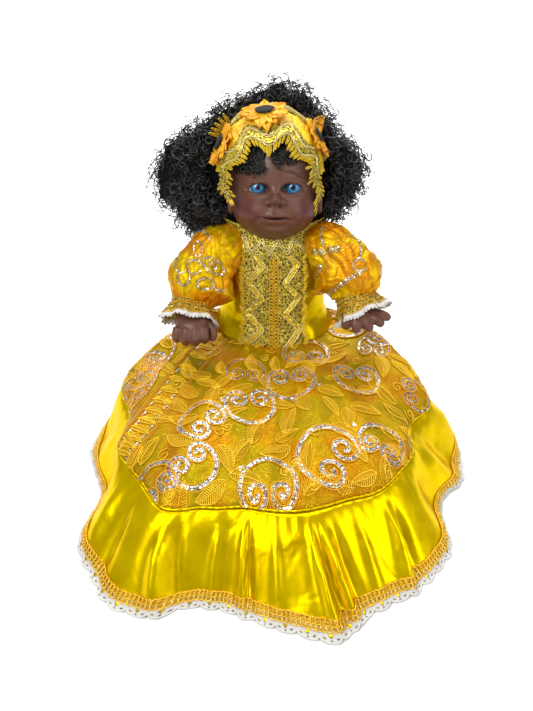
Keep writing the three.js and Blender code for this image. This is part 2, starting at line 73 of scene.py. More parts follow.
# %% [markdown]
# ## Camera and light
#
# The photograph looks down at the doll from in front, from about the height of a standing person's
# chest over a table. A studio lights such a doll with big soft boxes, because satin then gets long
# soft highlights and hardly any hard shadow. Five are used: a key at the front left, a small one near
# it for the glints on satin and sequins, a weaker fill on the right, one above and behind for the
# hair, and a wide one on the floor behind.

# %% Camera
camera_place = Vector((-8, -750, 620))
camera_pitch = 37.4
camera_lens = 36.96
nearest_shown = 10
camera = bpy.data.objects.new("camera", bpy.data.cameras.new("camera"))
camera.location = camera_place * MM
camera.rotation_euler = (radians(90 - camera_pitch), 0, 0)
camera.data.lens = camera_lens
camera.data.clip_start = nearest_shown * MM
bpy.context.scene.collection.objects.link(camera)
bpy.context.scene.camera = camera
bpy.context.scene.view_settings.view_transform = "Standard"
print("camera looks down by", camera_pitch, "degrees")


# %% Studio lights
def softbox(name, place, aim, size, power):
    """A round soft light, size millimetres wide, with its power in watts."""
    light = bpy.data.lights.new(name, "AREA")
    light.shape = "DISK"
    light.size = size * MM
    light.energy = power
    made = bpy.data.objects.new(name, light)
    made.location = Vector(place) * MM
    made.rotation_euler = (Vector(aim) - Vector(place)).to_track_quat("-Z", "Y").to_euler()
    bpy.context.scene.collection.objects.link(made)
    print(name, "light of", power, "W")


doll_middle = (0, -60, 150)
softbox("key", (-650, -900, 1150), doll_middle, 700, 15)
softbox("spark", (-300, -700, 1250), (0, -60, 200), 110, 2.6)
softbox("fill", (900, -700, 700), doll_middle, 900, 6)
softbox("top", (0, 250, 1300), doll_middle, 800, 7.5)
softbox("backdrop", (0, 1900, 1500), (0, 1700, 0), 2200, 75)

room_light = 0.38
sky = bpy.data.worlds.new("studio")
sky.use_nodes = True
background = sky.node_tree.nodes["Background"].inputs
background["Color"].default_value = (1, 1, 1, 1)
background["Strength"].default_value = room_light
bpy.context.scene.world = sky


# %% [markdown]
# ## Helpers
#
# Points are written in millimetres and made metres at the very end, when a piece is linked to the
# scene. Shader maths is written as plain Python expressions: a Wire is the output of a node, and
# adding or multiplying it adds the node that does so.

# %% Shapes of change
def lerp(a, b, t):
    return a + (b - a) * t


def ease(start, end, value):
    """0 before start, 1 after end, smooth between."""
    t = min(1.0, max(0.0, (value - start) / (end - start)))
    return t * t * (3 - 2 * t)


def hill(value, centre, width):
    """1 at the centre, falling smoothly to nothing at about twice the width."""
    return exp(-(((value - centre) / width) ** 2))


def dome(reach):
    """Height of a round bump: 1 in its middle, steep at its rim, 0 beyond it."""
    return max(0.0, 1 - reach * reach) ** 0.6


def round_noise(angle, wave, along, seed):
    """Noise round the doll that closes on itself, a wave every so many degrees."""
    turn = radians(angle)
    reach = degrees(1) / wave
    return noise.noise(Vector((reach * cos(turn) + seed, reach * sin(turn), along)))


def through(points, steps):
    """Points on a smooth curve through the given ones, steps to each stretch."""
    points = [Vector(p) for p in points]
    last = len(points) - 1
    smooth = []
    for i in range(last):
        a, b, c, d = (points[min(last, max(0, i + k))] for k in (-1, 0, 1, 2))
        bend = 2 * a - 5 * b + 4 * c - d
        twist = 3 * b - a - 3 * c + d
        for step in range(steps):
            t = step / steps
            smooth.append(0.5 * (2 * b + (c - a) * t + bend * t * t + twist * t**3))
    smooth.append(points[last])
    return smooth


# %% Wires and looks
class Wire:
    """The output of a shader node, which can be used in an expression like a number."""

    def __init__(self, look, socket):
        self.look = look
        self.socket = socket

    def __add__(self, other):
        return self.look.maths("ADD", self, other)

    def __sub__(self, other):
        return self.look.maths("SUBTRACT", self, other)

    def __rsub__(self, other):
        return self.look.maths("SUBTRACT", other, self)

    def __mul__(self, other):
        return self.look.maths("MULTIPLY", self, other)

    def __truediv__(self, other):
        return self.look.maths("DIVIDE", self, other)

    __radd__ = __add__
    __rmul__ = __mul__


class Look:
    """A material and short ways to add its nodes."""

    def __init__(self, name, **settings):
        self.material = bpy.data.materials.new(name)
        self.material.use_nodes = True
        self.tree = self.material.node_tree
        self.shader = self.tree.nodes["Principled BSDF"]
        self.set(**settings)
        print("look", name)

    def plug(self, socket, value):
        if isinstance(value, Wire):
            self.tree.links.new(value.socket, socket)
        elif isinstance(value, tuple) and len(value) == 3 and socket.type == "RGBA":
            socket.default_value = (*value, 1)
        else:
            socket.default_value = value

    def node(self, kind, settings, output, **values):
        made = self.tree.nodes.new("ShaderNode" + kind)
        stops = settings.pop("stops", None)
        for name, value in settings.items():
            setattr(made, name, value)
        if stops:
            ramp = made.color_ramp.elements
            while len(ramp) < len(stops):
                ramp.new(0.5)
            for element, (place, colour) in zip(ramp, stops):
                element.position = place
                element.color = (*colour, 1)
        for name, value in values.items():
            key = int(name[1:]) if name[1:].isdigit() else name.replace("_", " ")
            self.plug(made.inputs[key], value)
        return Wire(self, made.outputs[output])

    def maths(self, operation, a, b=0.0, c=0.0):
        return self.node("Math", {"operation": operation}, 0, _0=a, _1=b, _2=c)

    def clamp(self, value, low, high):
        """0 at low, 1 at high, smooth between and level outside."""
        settings = {"interpolation_type": "SMOOTHSTEP"}
        return self.node("MapRange", settings, 0, Value=value, From_Min=low, From_Max=high)

    def ramp(self, value, *stops):
        return self.node("ValToRGB", {"stops": stops}, 0, Fac=value)

    def mix(self, factor, a, b):
        return self.node("Mix", {"data_type": "RGBA"}, 2, _0=factor, _6=a, _7=b)

    def place(self, scale=(1, 1, 1), at=(0, 0, 0), turned=(0, 0, 0)):
        """Coordinates in millimetres from a point, turned as told and then scaled."""
        return self.node(
            "Mapping", {"vector_type": "TEXTURE"}, 0, Vector=self.node("TexCoord", {}, "Object"),
            Location=Vector(at) * MM, Rotation=[radians(t) for t in turned],
            Scale=Vector((1 / s for s in scale)) * MM,
        )

    def split(self, vector):
        made = self.node("SeparateXYZ", {}, 0, _0=vector).socket.node
        return [Wire(self, socket) for socket in made.outputs]

    def noise(self, vector, scale, detail=3.0, rough=0.5, distort=0.0):
        return self.node(
            "TexNoise", {}, 0, Vector=vector, Scale=scale, Detail=detail,
            Roughness=rough, Distortion=distort,
        )

    def cell_edges(self, vector, scale):
        """Distance from the threads of an uneven net."""
        settings = {"feature": "DISTANCE_TO_EDGE"}
        return self.node("TexVoronoi", settings, "Distance", Vector=vector, Scale=scale)

    def relief(self, height, depth):
        """Bump of the given depth in millimetres."""
        normal = self.node("Bump", {}, 0, Height=height, Distance=depth * MM, Strength=1.0)
        self.plug(self.shader.inputs["Normal"], normal)

    def set(self, **values):
        for name, value in values.items():
            self.plug(self.shader.inputs[name.replace("_", " ")], value)


# %% Pieces
# corners closer than this become one
weld_distance = 0.0005


def outwards(bm):
    """Turns the faces of a closed or ring-shaped mesh to point outwards."""
    bmesh.ops.recalc_face_normals(bm, faces=bm.faces)


def link(name, mesh, look, nodes=(), thickness=0.0, offset=-1.0):
    """Puts a finished mesh in the scene, on the body "root", in place of its CAD nodes."""
    mesh.materials.clear()
    mesh.materials.append(look.material)
    mesh.shade_smooth()
    made = bpy.data.objects.new(name, mesh)
    bpy.context.scene.collection.objects.link(made)
    if thickness:
        wall = made.modifiers.new("thickness", "SOLIDIFY")
        wall.thickness = thickness * MM
        wall.offset = offset
    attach(made, "root")
    if nodes:
        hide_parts(*nodes)
    print(name, len(mesh.polygons), "faces")


def piece(name, bm, look, nodes=(), thickness=0.0, offset=-1.0):
    """Links a bmesh in millimetres to the scene as a finished piece."""
    mesh = bpy.data.meshes.new(name)
    bmesh.ops.scale(bm, vec=(MM, MM, MM), verts=bm.verts)
    bm.to_mesh(mesh)
    bm.free()
    link(name, mesh, look, nodes, thickness, offset)


def grid(columns, rows, place):
    """A sheet of faces whose points are where place(u, v) puts them, u and v from 0 to 1."""
    bm = bmesh.new()
    bm.loops.layers.uv.new("UVMap")
    bmesh.ops.create_grid(bm, x_segments=columns, y_segments=rows, size=0.5, calc_uvs=True)
    for vertex in bm.verts:
        vertex.co = place(vertex.co.x + 0.5, vertex.co.y + 0.5)
    return bm


def ring(columns, rows, place):
    """A sheet that closes on itself along u."""
    bm = grid(columns, rows, place)
    bmesh.ops.remove_doubles(bm, verts=bm.verts, dist=weld_distance)
    outwards(bm)
    return bm


def finished_mesh(holder, *others):
    """The mesh of an object with its bevel or modifiers; the objects themselves are removed."""
    for made in (holder, *others):
        bpy.context.scene.collection.objects.link(made)
    graph = bpy.context.evaluated_depsgraph_get()
    mesh = bpy.data.meshes.new_from_object(holder.evaluated_get(graph), depsgraph=graph)
    mesh.name = holder.name
    for made in (holder, *others):
        bpy.data.objects.remove(made)
    return mesh


def cords(name, lines, radius, look, sides=5, closed=False, widths=None):
    """Round cords through lists of points, all in one mesh; widths gives each point's share."""
    section = bpy.data.curves.new(name + "_section", "CURVE")
    outline = section.splines.new("POLY")
    outline.points.add(sides - 1)
    outline.use_cyclic_u = True
    for k, point in enumerate(outline.points):
        turn = 2 * pi * k / sides
        point.co = (radius * MM * cos(turn), radius * MM * sin(turn), 0, 1)
    rim = bpy.data.objects.new(name + "_section", section)
    curve = bpy.data.curves.new(name, "CURVE")
    curve.dimensions = "3D"
    curve.bevel_mode = "OBJECT"
    curve.bevel_object = rim
    curve.use_fill_caps = not closed
    for number, line in enumerate(lines):
        spline = curve.splines.new("POLY")
        spline.points.add(len(line) - 1)
        flat = [value for p in line for value in (p[0] * MM, p[1] * MM, p[2] * MM, 1)]
        spline.points.foreach_set("co", flat)
        spline.use_cyclic_u = closed
        if widths:
            spline.points.foreach_set("radius", widths[number])
    mesh = finished_mesh(bpy.data.objects.new(name, curve), rim)
    link(name, mesh, look)


# %% [markdown]
# ## Reading the frame
#
# A CAD solid is a plain form with few faces. Where a finished piece has to keep its outline, rays
# from outside measure how far the solid reaches at each angle, and a light smoothing takes its
# corners off.

# %% Outlines of the solids
outline_rays = 180
outside = 600


def outline(node, height, centre, softness=1):
    """How far a solid reaches from an upright line through centre, by the angle from the front."""
    mesh = frame["nodes"][node].data
    corners = [v.co / MM for v in mesh.vertices]
    tree = BVHTree.FromPolygons(corners, [p.vertices for p in mesh.polygons])
    middle = Vector((centre[0], centre[1], height))
    reach = []
    for step in range(outline_rays):
        turn = radians(360 * step / outline_rays)
        out = Vector((sin(turn), -cos(turn), 0))
        hit = tree.ray_cast(middle + outside * out, -out)[0]
        reach.append((hit - middle).length)
    for _ in range(softness):
        after = reach[1:] + reach[:1]
        before = reach[-1:] + reach[:-1]
        reach = [0.25 * a + 0.5 * b + 0.25 * c for a, b, c in zip(before, reach, after)]

    def at(angle):
        place = (angle % 360) / (360 / outline_rays)
        k = int(place) % outline_rays
        return lerp(reach[k], reach[(k + 1) % outline_rays], place - int(place))

    return at


skirt_middle = (0, -140)
waist_middle = (0, -5)
waist_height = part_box("bodice")[0].z / MM
seam_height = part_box("skirt_ruffle")[1].z / MM
waist_line = outline("bodice", waist_height + 2, waist_middle)
seam_line = outline("skirt_upper", seam_height + 4, skirt_middle, 2)
hem_line = outline("hem_lace", 0.8, skirt_middle, 2)
print("waist at", round(waist_height), "mm, seam at", round(seam_height), "mm")

# %% [markdown]
# ## Yellow satin
#
# Satin is a weave whose long floating threads lie side by side, so its shine is the colour of the
# thread and stretches into soft streaks. Most of the shader is therefore metallic, in the yellow of
# the cloth, and very fine lines across the cloth give the weave.


# %% Satin
def weave(look, size, depth):
    """Fine threads both ways, size in millimetres."""
    x, y, z = look.split(look.place())
    across = look.maths("SINE", (x + y * 0.3) * (2 * pi / size))
    down = look.maths("SINE", (z + y * 0.7) * (2 * pi / size))
    return (across + down) * depth


satin = Look("yellow_satin", Roughness=0.29, Metallic=0.8, Specular_IOR_Level=0.1)
satin.set(Specular_Tint=(1, 0.85, 0.3))
soft = satin.noise(satin.place(), 0.035, 2.0)
satin.set(Base_Color=satin.ramp(soft, (0.3, (0.58, 0.39, 0.0)), (0.7, (0.74, 0.54, 0.0))))
crease = satin.noise(satin.place((1, 1, 0.3)), 0.035, 2.0, 0.4, 0.5)
satin.relief(crease * 2.4 + weave(satin, 0.5, 0.004), 1.0)

# %% [markdown]
# ## The skirt's two tiers
#
# The skirt is two tiers of cloth: the upper one of net over satin, the lower one a strip of satin
# half as long again as the seam, so that it falls in folds. Both are sheets: a grid of faces is laid
# out by angle around the skirt and by distance from its upper edge, with the folds worked in.

# %% The surfaces of the skirt
thigh_rise = 9
side_rise = 15
floor_clearance = 0.5


def upper_tier(angle, along):
    """A point of the upper tier, along from 0 at the waist to 1 at the seam."""
    turn = radians(angle)
    waist = waist_line(angle)
    seam = seam_line(angle)
    x = lerp(waist, seam, along) * sin(turn)
    y = lerp(waist_middle[1] - waist * cos(turn), skirt_middle[1] - seam * cos(turn), along)
    legs = hill(angle, -30, 24) + hill(angle, 30, 24)
    sides = hill(abs(angle), 116, 26)
    rise = (thigh_rise * legs + side_rise * sides) * sin(pi * along)
    gathers = 0.8 * cos(radians(34 * angle) + 2.4 * sin(radians(7 * angle))) * hill(along, 0.03, 0.14)
    fold = -4.5 * hill(angle, 11 - 9 * along, 5) * ease(0.3, 0.8, along)
    folds = 4.0 * round_noise(angle, 13, along * 1.6, 3) * ease(0.1, 0.7, along)
    folds *= 1 - ease(0.85, 1, along)
    z = waist_height + 0.6 - (waist_height - seam_height - 8) * along**2 + rise + gathers + fold + folds
    z -= 8 * ease(0.93, 1, along)
    return Vector((x, y, z))


# angle, width in degrees, height, and how far the fold leans towards its foot
satin_folds = [
    (-58, 2.6, 5, 4), (-50, 1.4, -4, 4), (-36, 1.8, 8, 8), (-32, 1.4, -6, 7), (-20, 1.2, 3, 3),
    (-11.5, 0.9, 6, 3), (-9.5, 0.8, -5, 3), (0, 1.3, 3, 1), (12, 1.0, 9, 3), (14.5, 0.9, -8, 3),
    (17, 1.0, 9, 3), (20.5, 1.3, -6, 2), (30, 1.2, 3, -2), (42, 1.4, 7, -6), (45, 1.4, -6, -6),
    (62, 4, -5, 3), (74, 4, 5, 2), (-72, 5, -6, 2), (-84, 4, 5, 0), (-98, 5, -5, 2), (98, 5, 5, 0),
    (84, 4, -4, 1), (112, 5, -6, 2), (128, 4, 6, 3), (145, 5, -6, 2), (160, 4, 7, -3), (176, 5, -6, 2),
    (-120, 5, 6, 2), (-138, 4, -6, -2), (-152, 4, 7, 3), (-168, 5, -5, 2),
]


def lower_tier(angle, along):
    """A point of the ruffle, along from 0 at the seam to 1 at the hem."""
    distance = lerp(seam_line(angle) - 1, hem_line(angle), along**0.75)
    height = (seam_height - 0.6) * (1 - along) ** 1.25
    lift = 0.0
    for place, width, size, lean in satin_folds:
        off = (angle - place - lean * along + 180) % 360 - 180
        if abs(off) < 4 * width:
            lift += 1.35 * size * hill(off, 0, width * (0.8 + 0.8 * along)) * ease(0.0, 0.4, along)
    lift *= 1 - 0.7 * ease(0.6, 1.0, along)
    gathers = 0.4 * cos(radians(72 * angle) + 2 * sin(radians(11 * angle))) * hill(along, 0.03, 0.06)
    creases = 1.8 * round_noise(angle, 8, along * 0.6, 7) + 0.3 * round_noise(angle, 2.2, along * 0.6, 2)
    lift += gathers + creases * ease(0, 0.25, along) * (1 - 0.7 * ease(0.8, 1.0, along))
    turn = radians(angle)
    distance += 0.75 * lift
    z = max(floor_clearance + 0.7, height + 0.5 * lift)
    return Vector((distance * sin(turn), skirt_middle[1] - distance * cos(turn), z))


# %% The sheets of the skirt
cloth_thickness = 0.8


def about(tier, columns, rows, end=1.0):
    """A tier of the skirt as a closed ring of faces, from its upper edge down to end."""
    return ring(columns, rows, lambda u, v: tier(360 * u - 180, end * (1 - v)))


def net_look(name, strength, *colours):
    """Net over satin, worked with fine lines of thread as strong as told."""
    look = Look(name, Roughness=0.4, Metallic=0.6, Specular_IOR_Level=0.1)
    spot = look.place()
    areas = look.noise(spot, 0.022, 2.0, 0.5)
    lines = look.noise(spot, 0.075, 1.0, 0.4, 2.2)
    stitches = look.maths("ABSOLUTE", look.maths("SINE", lines * 26.0))
    fine = look.maths("ABSOLUTE", look.maths("SINE", look.noise(spot, 0.14, 1.0) * 18.0))
    ground = look.ramp(areas, *zip((0.4, 0.5, 0.6), colours))
    worked = look.mix(look.clamp(stitches, 0.5, 0.1) * (0.8 * strength), ground, (0.3, 0.11, 0.001))
    worked = look.mix(look.clamp(fine, 0.3, 0.1) * (0.4 * strength), worked, (0.75, 0.46, 0.03))
    look.set(Base_Color=worked)
    look.relief(stitches * -0.5 + fine * -0.2 + weave(look, 0.7, 0.05), 0.35 * strength)
    return look


embroidered = net_look("embroidered_net", 1.0, (0.31, 0.23, 0.0), (0.45, 0.265, 0.0), (0.42, 0.18, 0.0))
sleeve_net = net_look("sleeve_net", 0.5, (0.62, 0.42, 0.0), (0.66, 0.31, 0.001), (0.58, 0.19, 0.001))
upper_cloth = about(upper_tier, 270, 50)
cloth_tree = BVHTree.FromBMesh(upper_cloth)
piece("skirt_net", upper_cloth, embroidered, ["skirt_upper"], cloth_thickness)
lower_cloth = about(lower_tier, 400, 36, 0.93)
piece("satin_ruffle", lower_cloth, satin, ["skirt_ruffle"], cloth_thickness)

# %% The plain lining that closes the skirt from below
lining_height = floor_clearance + 0.3
bm = bmesh.new()
bmesh.ops.create_circle(bm, segments=120, radius=1, cap_ends=True)
bmesh.ops.poke(bm, faces=bm.faces)
for vertex in bm.verts:
    x, y = 0, skirt_middle[1]
    if vertex.co.length > 0.5:
        x, y, _ = lower_tier(degrees(atan2(vertex.co.x, -vertex.co.y)), 0.86)
    vertex.co = (x, y, lining_height)
piece("skirt_lining", bm, satin, (), 0.3)

# %% The seam between the tiers
seam_steps = 480
seam_bead = []
bead_widths = []
for step in range(seam_steps):
    angle = 360 * step / seam_steps
    out = Vector((sin(radians(angle)), -cos(radians(angle)), 0))
    seam_bead.append(lower_tier(angle, 0.0) + out * 0.6 + Vector((0, 0, 0.8)))
    bead_widths.append(1 + 0.22 * sin(step * 1.9) + 0.2 * noise.noise(Vector((step / 3, 0, 0))))
cords("seam_gathers", [seam_bead], 1.2, satin, closed=True, widths=[bead_widths])

# %% [markdown]
# ## Trims of the hem
#
# A gimp braid of gold thread covers the join of satin and lace: three rows of loops, with pale rungs
# between the lower two. The white lace is cotton with scallops and eyelets, sewn so that its scallops pass
# the satin. The eyelets are real holes, so the floor shows through them.


# %% Looks of gold and white lace
gold_lace = Look("gold_lace", Metallic=0.45, Roughness=0.36)
spot = gold_lace.place()
scrolls = gold_lace.noise(spot, 0.06, 1.0, 0.5, 2.6)
bands = gold_lace.maths("ABSOLUTE", gold_lace.maths("SINE", scrolls * 34.0))
thread = gold_lace.clamp(gold_lace.cell_edges(spot, 0.26), 0.14, 0.04)
high = gold_lace.maths("MAXIMUM", gold_lace.clamp(bands, 0.55, 0.15), thread * 0.7)
thread_tone = gold_lace.mix(gold_lace.noise(spot, 0.09, 2.0), (0.68, 0.48, 0.008), (0.95, 0.76, 0.06))
# bright specks in the thread colour are painted glints of light off the metal thread
painted_glints = gold_lace.clamp(gold_lace.noise(spot, 1.7, 1.0), 0.56, 0.66)
thread_tone = gold_lace.mix(painted_glints, thread_tone, (0.95, 0.85, 0.35))
# between the threads and scrolls the lace is painted near black: painted shade in its holes
gold_lace.set(Base_Color=gold_lace.mix(high, (0.06, 0.034, 0.0), thread_tone))
gold_lace.relief(high + gold_lace.noise(spot, 2.2, 1.0) * 0.4, 0.7)

gold_cord = Look("gold_cord", Metallic=0.5, Roughness=0.34, Base_Color=(0.56, 0.38, 0.014))
pale_cord = Look("pale_gold_cord", Metallic=0.5, Roughness=0.3, Base_Color=(0.8, 0.68, 0.3))
orange_cord = Look("orange_gold_cord", Metallic=0.3, Roughness=0.42, Base_Color=(0.72, 0.33, 0.01))
braid_gold = Look("braid_gold", Metallic=0.5, Roughness=0.36, Base_Color=(0.78, 0.46, 0.02))
leaf_thread = Look("leaf_thread", Metallic=0.4, Roughness=0.38, Base_Color=(0.8, 0.49, 0.01))
braid_thread = Look("braid_thread", Metallic=0.4, Roughness=0.42, Base_Color=(0.46, 0.26, 0.004))
cotton = Look("white_lace", Roughness=0.75, Base_Color=(0.5, 0.49, 0.46))
cotton.relief(cotton.noise(cotton.place(), 1.6, 2.0), 0.3)

# %% Gimp braid
# shares of the way from the seam to the hem
braid_from, braid_to = 0.76, 0.88


def on_ruffle(angle, along, out):
    """A point out millimetres above the ruffle."""
    return lower_tier(angle, along) + Vector((0, 0, out))


def braid_place(u, v):
    return on_ruffle(360 * u - 180, lerp(braid_to, braid_from, v), 1.0)


piece("braid_ground", ring(480, 4, braid_place), braid_thread, ["hem_braid"], cloth_thickness)
loop_count = 320
loop_steps = 7
loop_half = 0.016
braid_middle = 0.6 * braid_from + 0.4 * braid_to
braid_lines = []
for edge, sign in ((braid_from + 0.012, -1), (braid_middle, 1), (braid_to - 0.012, 1)):
    line = []
    for step in range(loop_count * loop_steps):
        turn = 2 * pi * step / loop_steps
        angle = 360 * (step / loop_steps + 0.42 * sin(turn)) / loop_count
        along = edge + sign * loop_half * cos(turn)
        line.append(on_ruffle(angle, along, 2.1 + 0.4 * sin(turn)))
    braid_lines.append(line)
cords("braid_loops", braid_lines, 0.8, braid_gold, sides=3, closed=True)
rungs = []
for step in range(loop_count):
    angle = 360 * (step + 0.5) / loop_count
    rungs.append([on_ruffle(angle, lerp(braid_middle + 0.02, braid_to - 0.03, k), 2.3) for k in (0, 1)])
cords("braid_rungs", rungs, 0.8, pale_cord, sides=4)

# %% White eyelet lace
scallops = 72
faces_across_one = 15
scallop_size = (20.0, 13.0)
eyelet_from, eyelet_to = 0.862, 0.94
thin_cloth = 0.7
# place across and down a scallop, as shares of it, and radius in millimetres
hole_spots = [
    (0.5, 0.36, 2.0), (0.22, 0.62, 1.3), (0.5, 0.74, 1.3), (0.78, 0.62, 1.3), (0.0, 0.25, 1.1),
]
# faces whose corners are this near a hole's rim have them moved onto it
rim_reach = 0.62


def from_hole(u, v, hole_u, hole_v):
    """Millimetres across and down from a hole, at the scallop that u is in."""
    across = ((u * scallops - hole_u + 0.5) % 1.0 - 0.5) * scallop_size[0]
    return across, (1 - v - hole_v) * scallop_size[1]


def hem_lace_place(u, v):
    phase = (u * scallops) % 1.0
    edge = 0.06 * sin(pi * phase) ** 0.6
    along = lerp(eyelet_from, eyelet_to + edge, 1 - v)
    ripple = 0.5 * sin(2 * pi * phase) * (1 - v)
    return lower_tier(360 * u - 180, along) + Vector((0, 0, 1.3 + ripple))


bm = bmesh.new()
bmesh.ops.create_grid(bm, x_segments=scallops * faces_across_one, y_segments=9, size=0.5)
for vertex in bm.verts:
    u, v = vertex.co.x + 0.5, vertex.co.y + 0.5
    for hole_u, hole_v, radius in hole_spots:
        across, down = from_hole(u, v, hole_u, hole_v)
        away = hypot(across, down)
        if 0 < abs(away - radius) < rim_reach:
            move = radius / away - 1
            vertex.co.x += across * move / scallop_size[0] / scallops
            vertex.co.y -= down * move / scallop_size[1]
            break
gone = []
for face in bm.faces:
    middle = face.calc_center_median()
    for hole_u, hole_v, radius in hole_spots:
        if hypot(*from_hole(middle.x + 0.5, middle.y + 0.5, hole_u, hole_v)) < radius:
            gone.append(face)
            break
bmesh.ops.delete(bm, geom=gone, context="FACES")
for vertex in bm.verts:
    vertex.co = hem_lace_place(vertex.co.x + 0.5, vertex.co.y + 0.5)
bmesh.ops.remove_doubles(bm, verts=bm.verts, dist=weld_distance)
outwards(bm)
piece("eyelet_lace", bm, cotton, ["hem_lace"], thin_cloth)

# %% [markdown]
# ## Embroidery
#
# The net is worked with scrolls of silver sequins, edged with cord, and with leaves of gold-orange
# thread. Each motif is drawn flat, then laid on the cloth by dropping its points straight down.

# %% Laying things on the cloth
above_doll = 300


def on_cloth(x, y, out):
    """The point of the upper tier under (x, y), raised, and the cloth's upward normal."""
    hit, normal, _, _ = cloth_tree.ray_cast(Vector((x, y, above_doll)), Vector((0, 0, -1)))
    if hit is None:
        return None
    normal = normal if normal.z > 0 else -normal
    return hit + normal * out, normal


sequins = []
outline_cords = []
leaf_cords = []
stitch_gap = 2.0
sequin_gap = 2.0
sequin_row = 2.1
embroidery_lift = 0.9
# one side of a scroll, from its point at the foot round to the end of its coil
half_scroll = [
    (0, -1), (0.45, -0.93), (0.85, -0.62), (1.03, -0.12), (0.95, 0.38), (0.66, 0.66), (0.3, 0.6),
    (0.13, 0.3), (0.24, 0), (0.52, -0.08), (0.7, 0.1), (0.66, 0.32), (0.48, 0.36), (0.4, 0.22),
]


def lay_line(points, out, store, ground=on_cloth):
    """Keeps the part of a flat line that lies on the cloth."""
    laid = []
    for x, y in points:
        found = ground(x, y, out)
        if found is None:
            if len(laid) > 2:
                store.append(laid)
            laid = []
        else:
            laid.append(found[0])
    if len(laid) > 2:
        store.append(laid)


def sequin_band(points, width, ground=on_cloth, plates=sequins, rims=outline_cords):
    """Sequins scattered in a band along a flat line, and a cord along each of its edges."""
    edges = ([], [])
    rows = max(1, round(width / sequin_row) - 1)
    due = 0.0
    for k in range(1, len(points)):
        (x0, y0), (x1, y1) = points[k - 1], points[k]
        length = hypot(x1 - x0, y1 - y0) or 1.0
        across = (-(y1 - y0) / length, (x1 - x0) / length)
        for edge, side in zip(edges, (-1, 1)):
            edge.append((x1 + side * across[0] * width / 2, y1 + side * across[1] * width / 2))
        while due < length:
            t = due / length
            for row in range(rows):
                off = (row - (rows - 1) / 2) * sequin_row + random.uniform(-0.15, 0.15)
                x, y = lerp(x0, x1, t) + across[0] * off, lerp(y0, y1, t) + across[1] * off
                found = ground(x, y, embroidery_lift)
                if found:
                    plates.append(found)
            due += sequin_gap
        due -= length
    for edge in edges:
        lay_line(edge, embroidery_lift, rims, ground)


def scroll(x, y, arc_way, width, stretch=1.05):
    """A heart-shaped pair of coils, its round side towards arc_way."""
    turn = radians(arc_way + 90)
    for side in (-1, 1):
        line = []
        for p in through([(side * a, b, 0) for a, b in half_scroll], 5):
            a, b = p.x * width / 2, p.y * width / 2 * stretch
            line.append((x + a * cos(turn) - b * sin(turn), y + a * sin(turn) + b * cos(turn)))
        sequin_band(line, min(5.6, width * 0.13))


def leaf(x, y, way, length, width, ground=on_cloth, store=leaf_cords):
    """A pointed leaf with a bent vein and close stitches that sweep to its tip."""
    c, s = cos(radians(way)), sin(radians(way))

    def put(a, b):
        b += 0.2 * width * (1 - (2 * a / length) ** 2)
        return x + a * c - b * s, y + a * s + b * c

    def half(a):
        t = min(1.0, max(0.0, a / length + 0.5))
        return width / 2 * max(0.0, sin(pi * t**0.8)) ** 0.8

    rim = []
    for side in (1, -1):
        for k in range(13):
            a = side * length * (0.5 - k / 12)
            rim.append(put(a, side * half(a)))
    lay_line(rim, 0.8, store, ground)
    lay_line([put(length * (k / 8 - 0.5), 0) for k in range(9)], embroidery_lift, store, ground)
    stitches = int(length / stitch_gap)
    for k in range(1, stitches):
        a = length * (k / stitches - 0.5)
        edge = min(length / 2, a + 0.5 * half(a))
        lay_line([put(edge, -0.9 * half(edge)), put(a, 0), put(edge, 0.9 * half(edge))], 0.6, store, ground)


def curl(x, y, way, size, ground=on_cloth, store=leaf_cords):
    """A thread wound in towards (x, y)."""
    line = []
    for k in range(20):
        t = k / 19
        turn = radians(way) + 8.5 * t
        reach = size * (1 - 0.85 * t)
        line.append((x + reach * cos(turn), y + reach * sin(turn)))
    lay_line(line, embroidery_lift, store, ground)


# %% Scrolls, leaves and curls of the skirt
random.seed(5)
# x, y, direction of the round side and width
scroll_spots = [
    (38, -76, 90, 50), (19, -125, -90, 50), (-26, -161, -80, 50), (-32, -111, 90, 40), (-74, -186, 140, 46),
    (-82, -238, -50, 46), (93, -112, -85, 48), (118, -62, 80, 34), (158, -122, 0, 34), (57, -226, 150, 62),
    (110, -206, 70, 44), (-6, -259, 95, 54), (-118, -254, 120, 44),
]
for x, y, way, width in scroll_spots:
    scroll(x, y, way, width)
for x, y in ((-138, -77), (-155, -117)):
    scroll(x, y, 60, 30, 2.2)
for angle in range(110, 251, 28):
    turn = radians(angle)
    for along, way in ((0.33, 90), (0.78, -90)):
        here = upper_tier(angle + 12 * (along > 0.5), along)
        scroll(here.x, here.y, way + angle, 48)
# x, y and direction of the long side
oval_spots = [
    (-55, -158, 100), (-51, -176, 60), (50, -134, 30), (83, -186, 120), (102, -186, 60), (-33, -240, 40),
    (-100, -190, 80), (22, -155, 0),
]
leaf_gap = 18.5
taken = [(x, y) for x, y, _, _ in scroll_spots]
for x, y in (
    (33, -156), (17, -182), (-29, -252), (73, -197), (-54, -129), (-17, -197), (1, -219), (-50, -232),
    (-63, -263), (98, -164), (124, -131), (-97, -206), (-128, -211),
):
    leaf(x, y, random.uniform(0, 360), 34, 15)
    taken.append((x, y))
for x, y in (
    (-56, -148), (-48, -195), (-9, -85), (72, -70), (62, -120), (10, -243), (38, -257), (101, -204),
    (116, -235), (20, -233), (142, -87), (150, -148), (-102, -266),
):
    curl(x, y, random.uniform(0, 360), 7)
    curl(x, y, random.uniform(0, 360), 4)
for _ in range(900):
    x, y = random.uniform(-180, 180), random.uniform(-285, 52)
    if min(hypot(x - a, y - b) for a, b in taken) > leaf_gap:
        if random.random() < 0.65:
            leaf(x, y, random.uniform(0, 360), random.uniform(25, 38), random.uniform(11, 16))
        else:
            curl(x, y, random.uniform(0, 360), random.uniform(5, 8))
        taken.append((x, y))

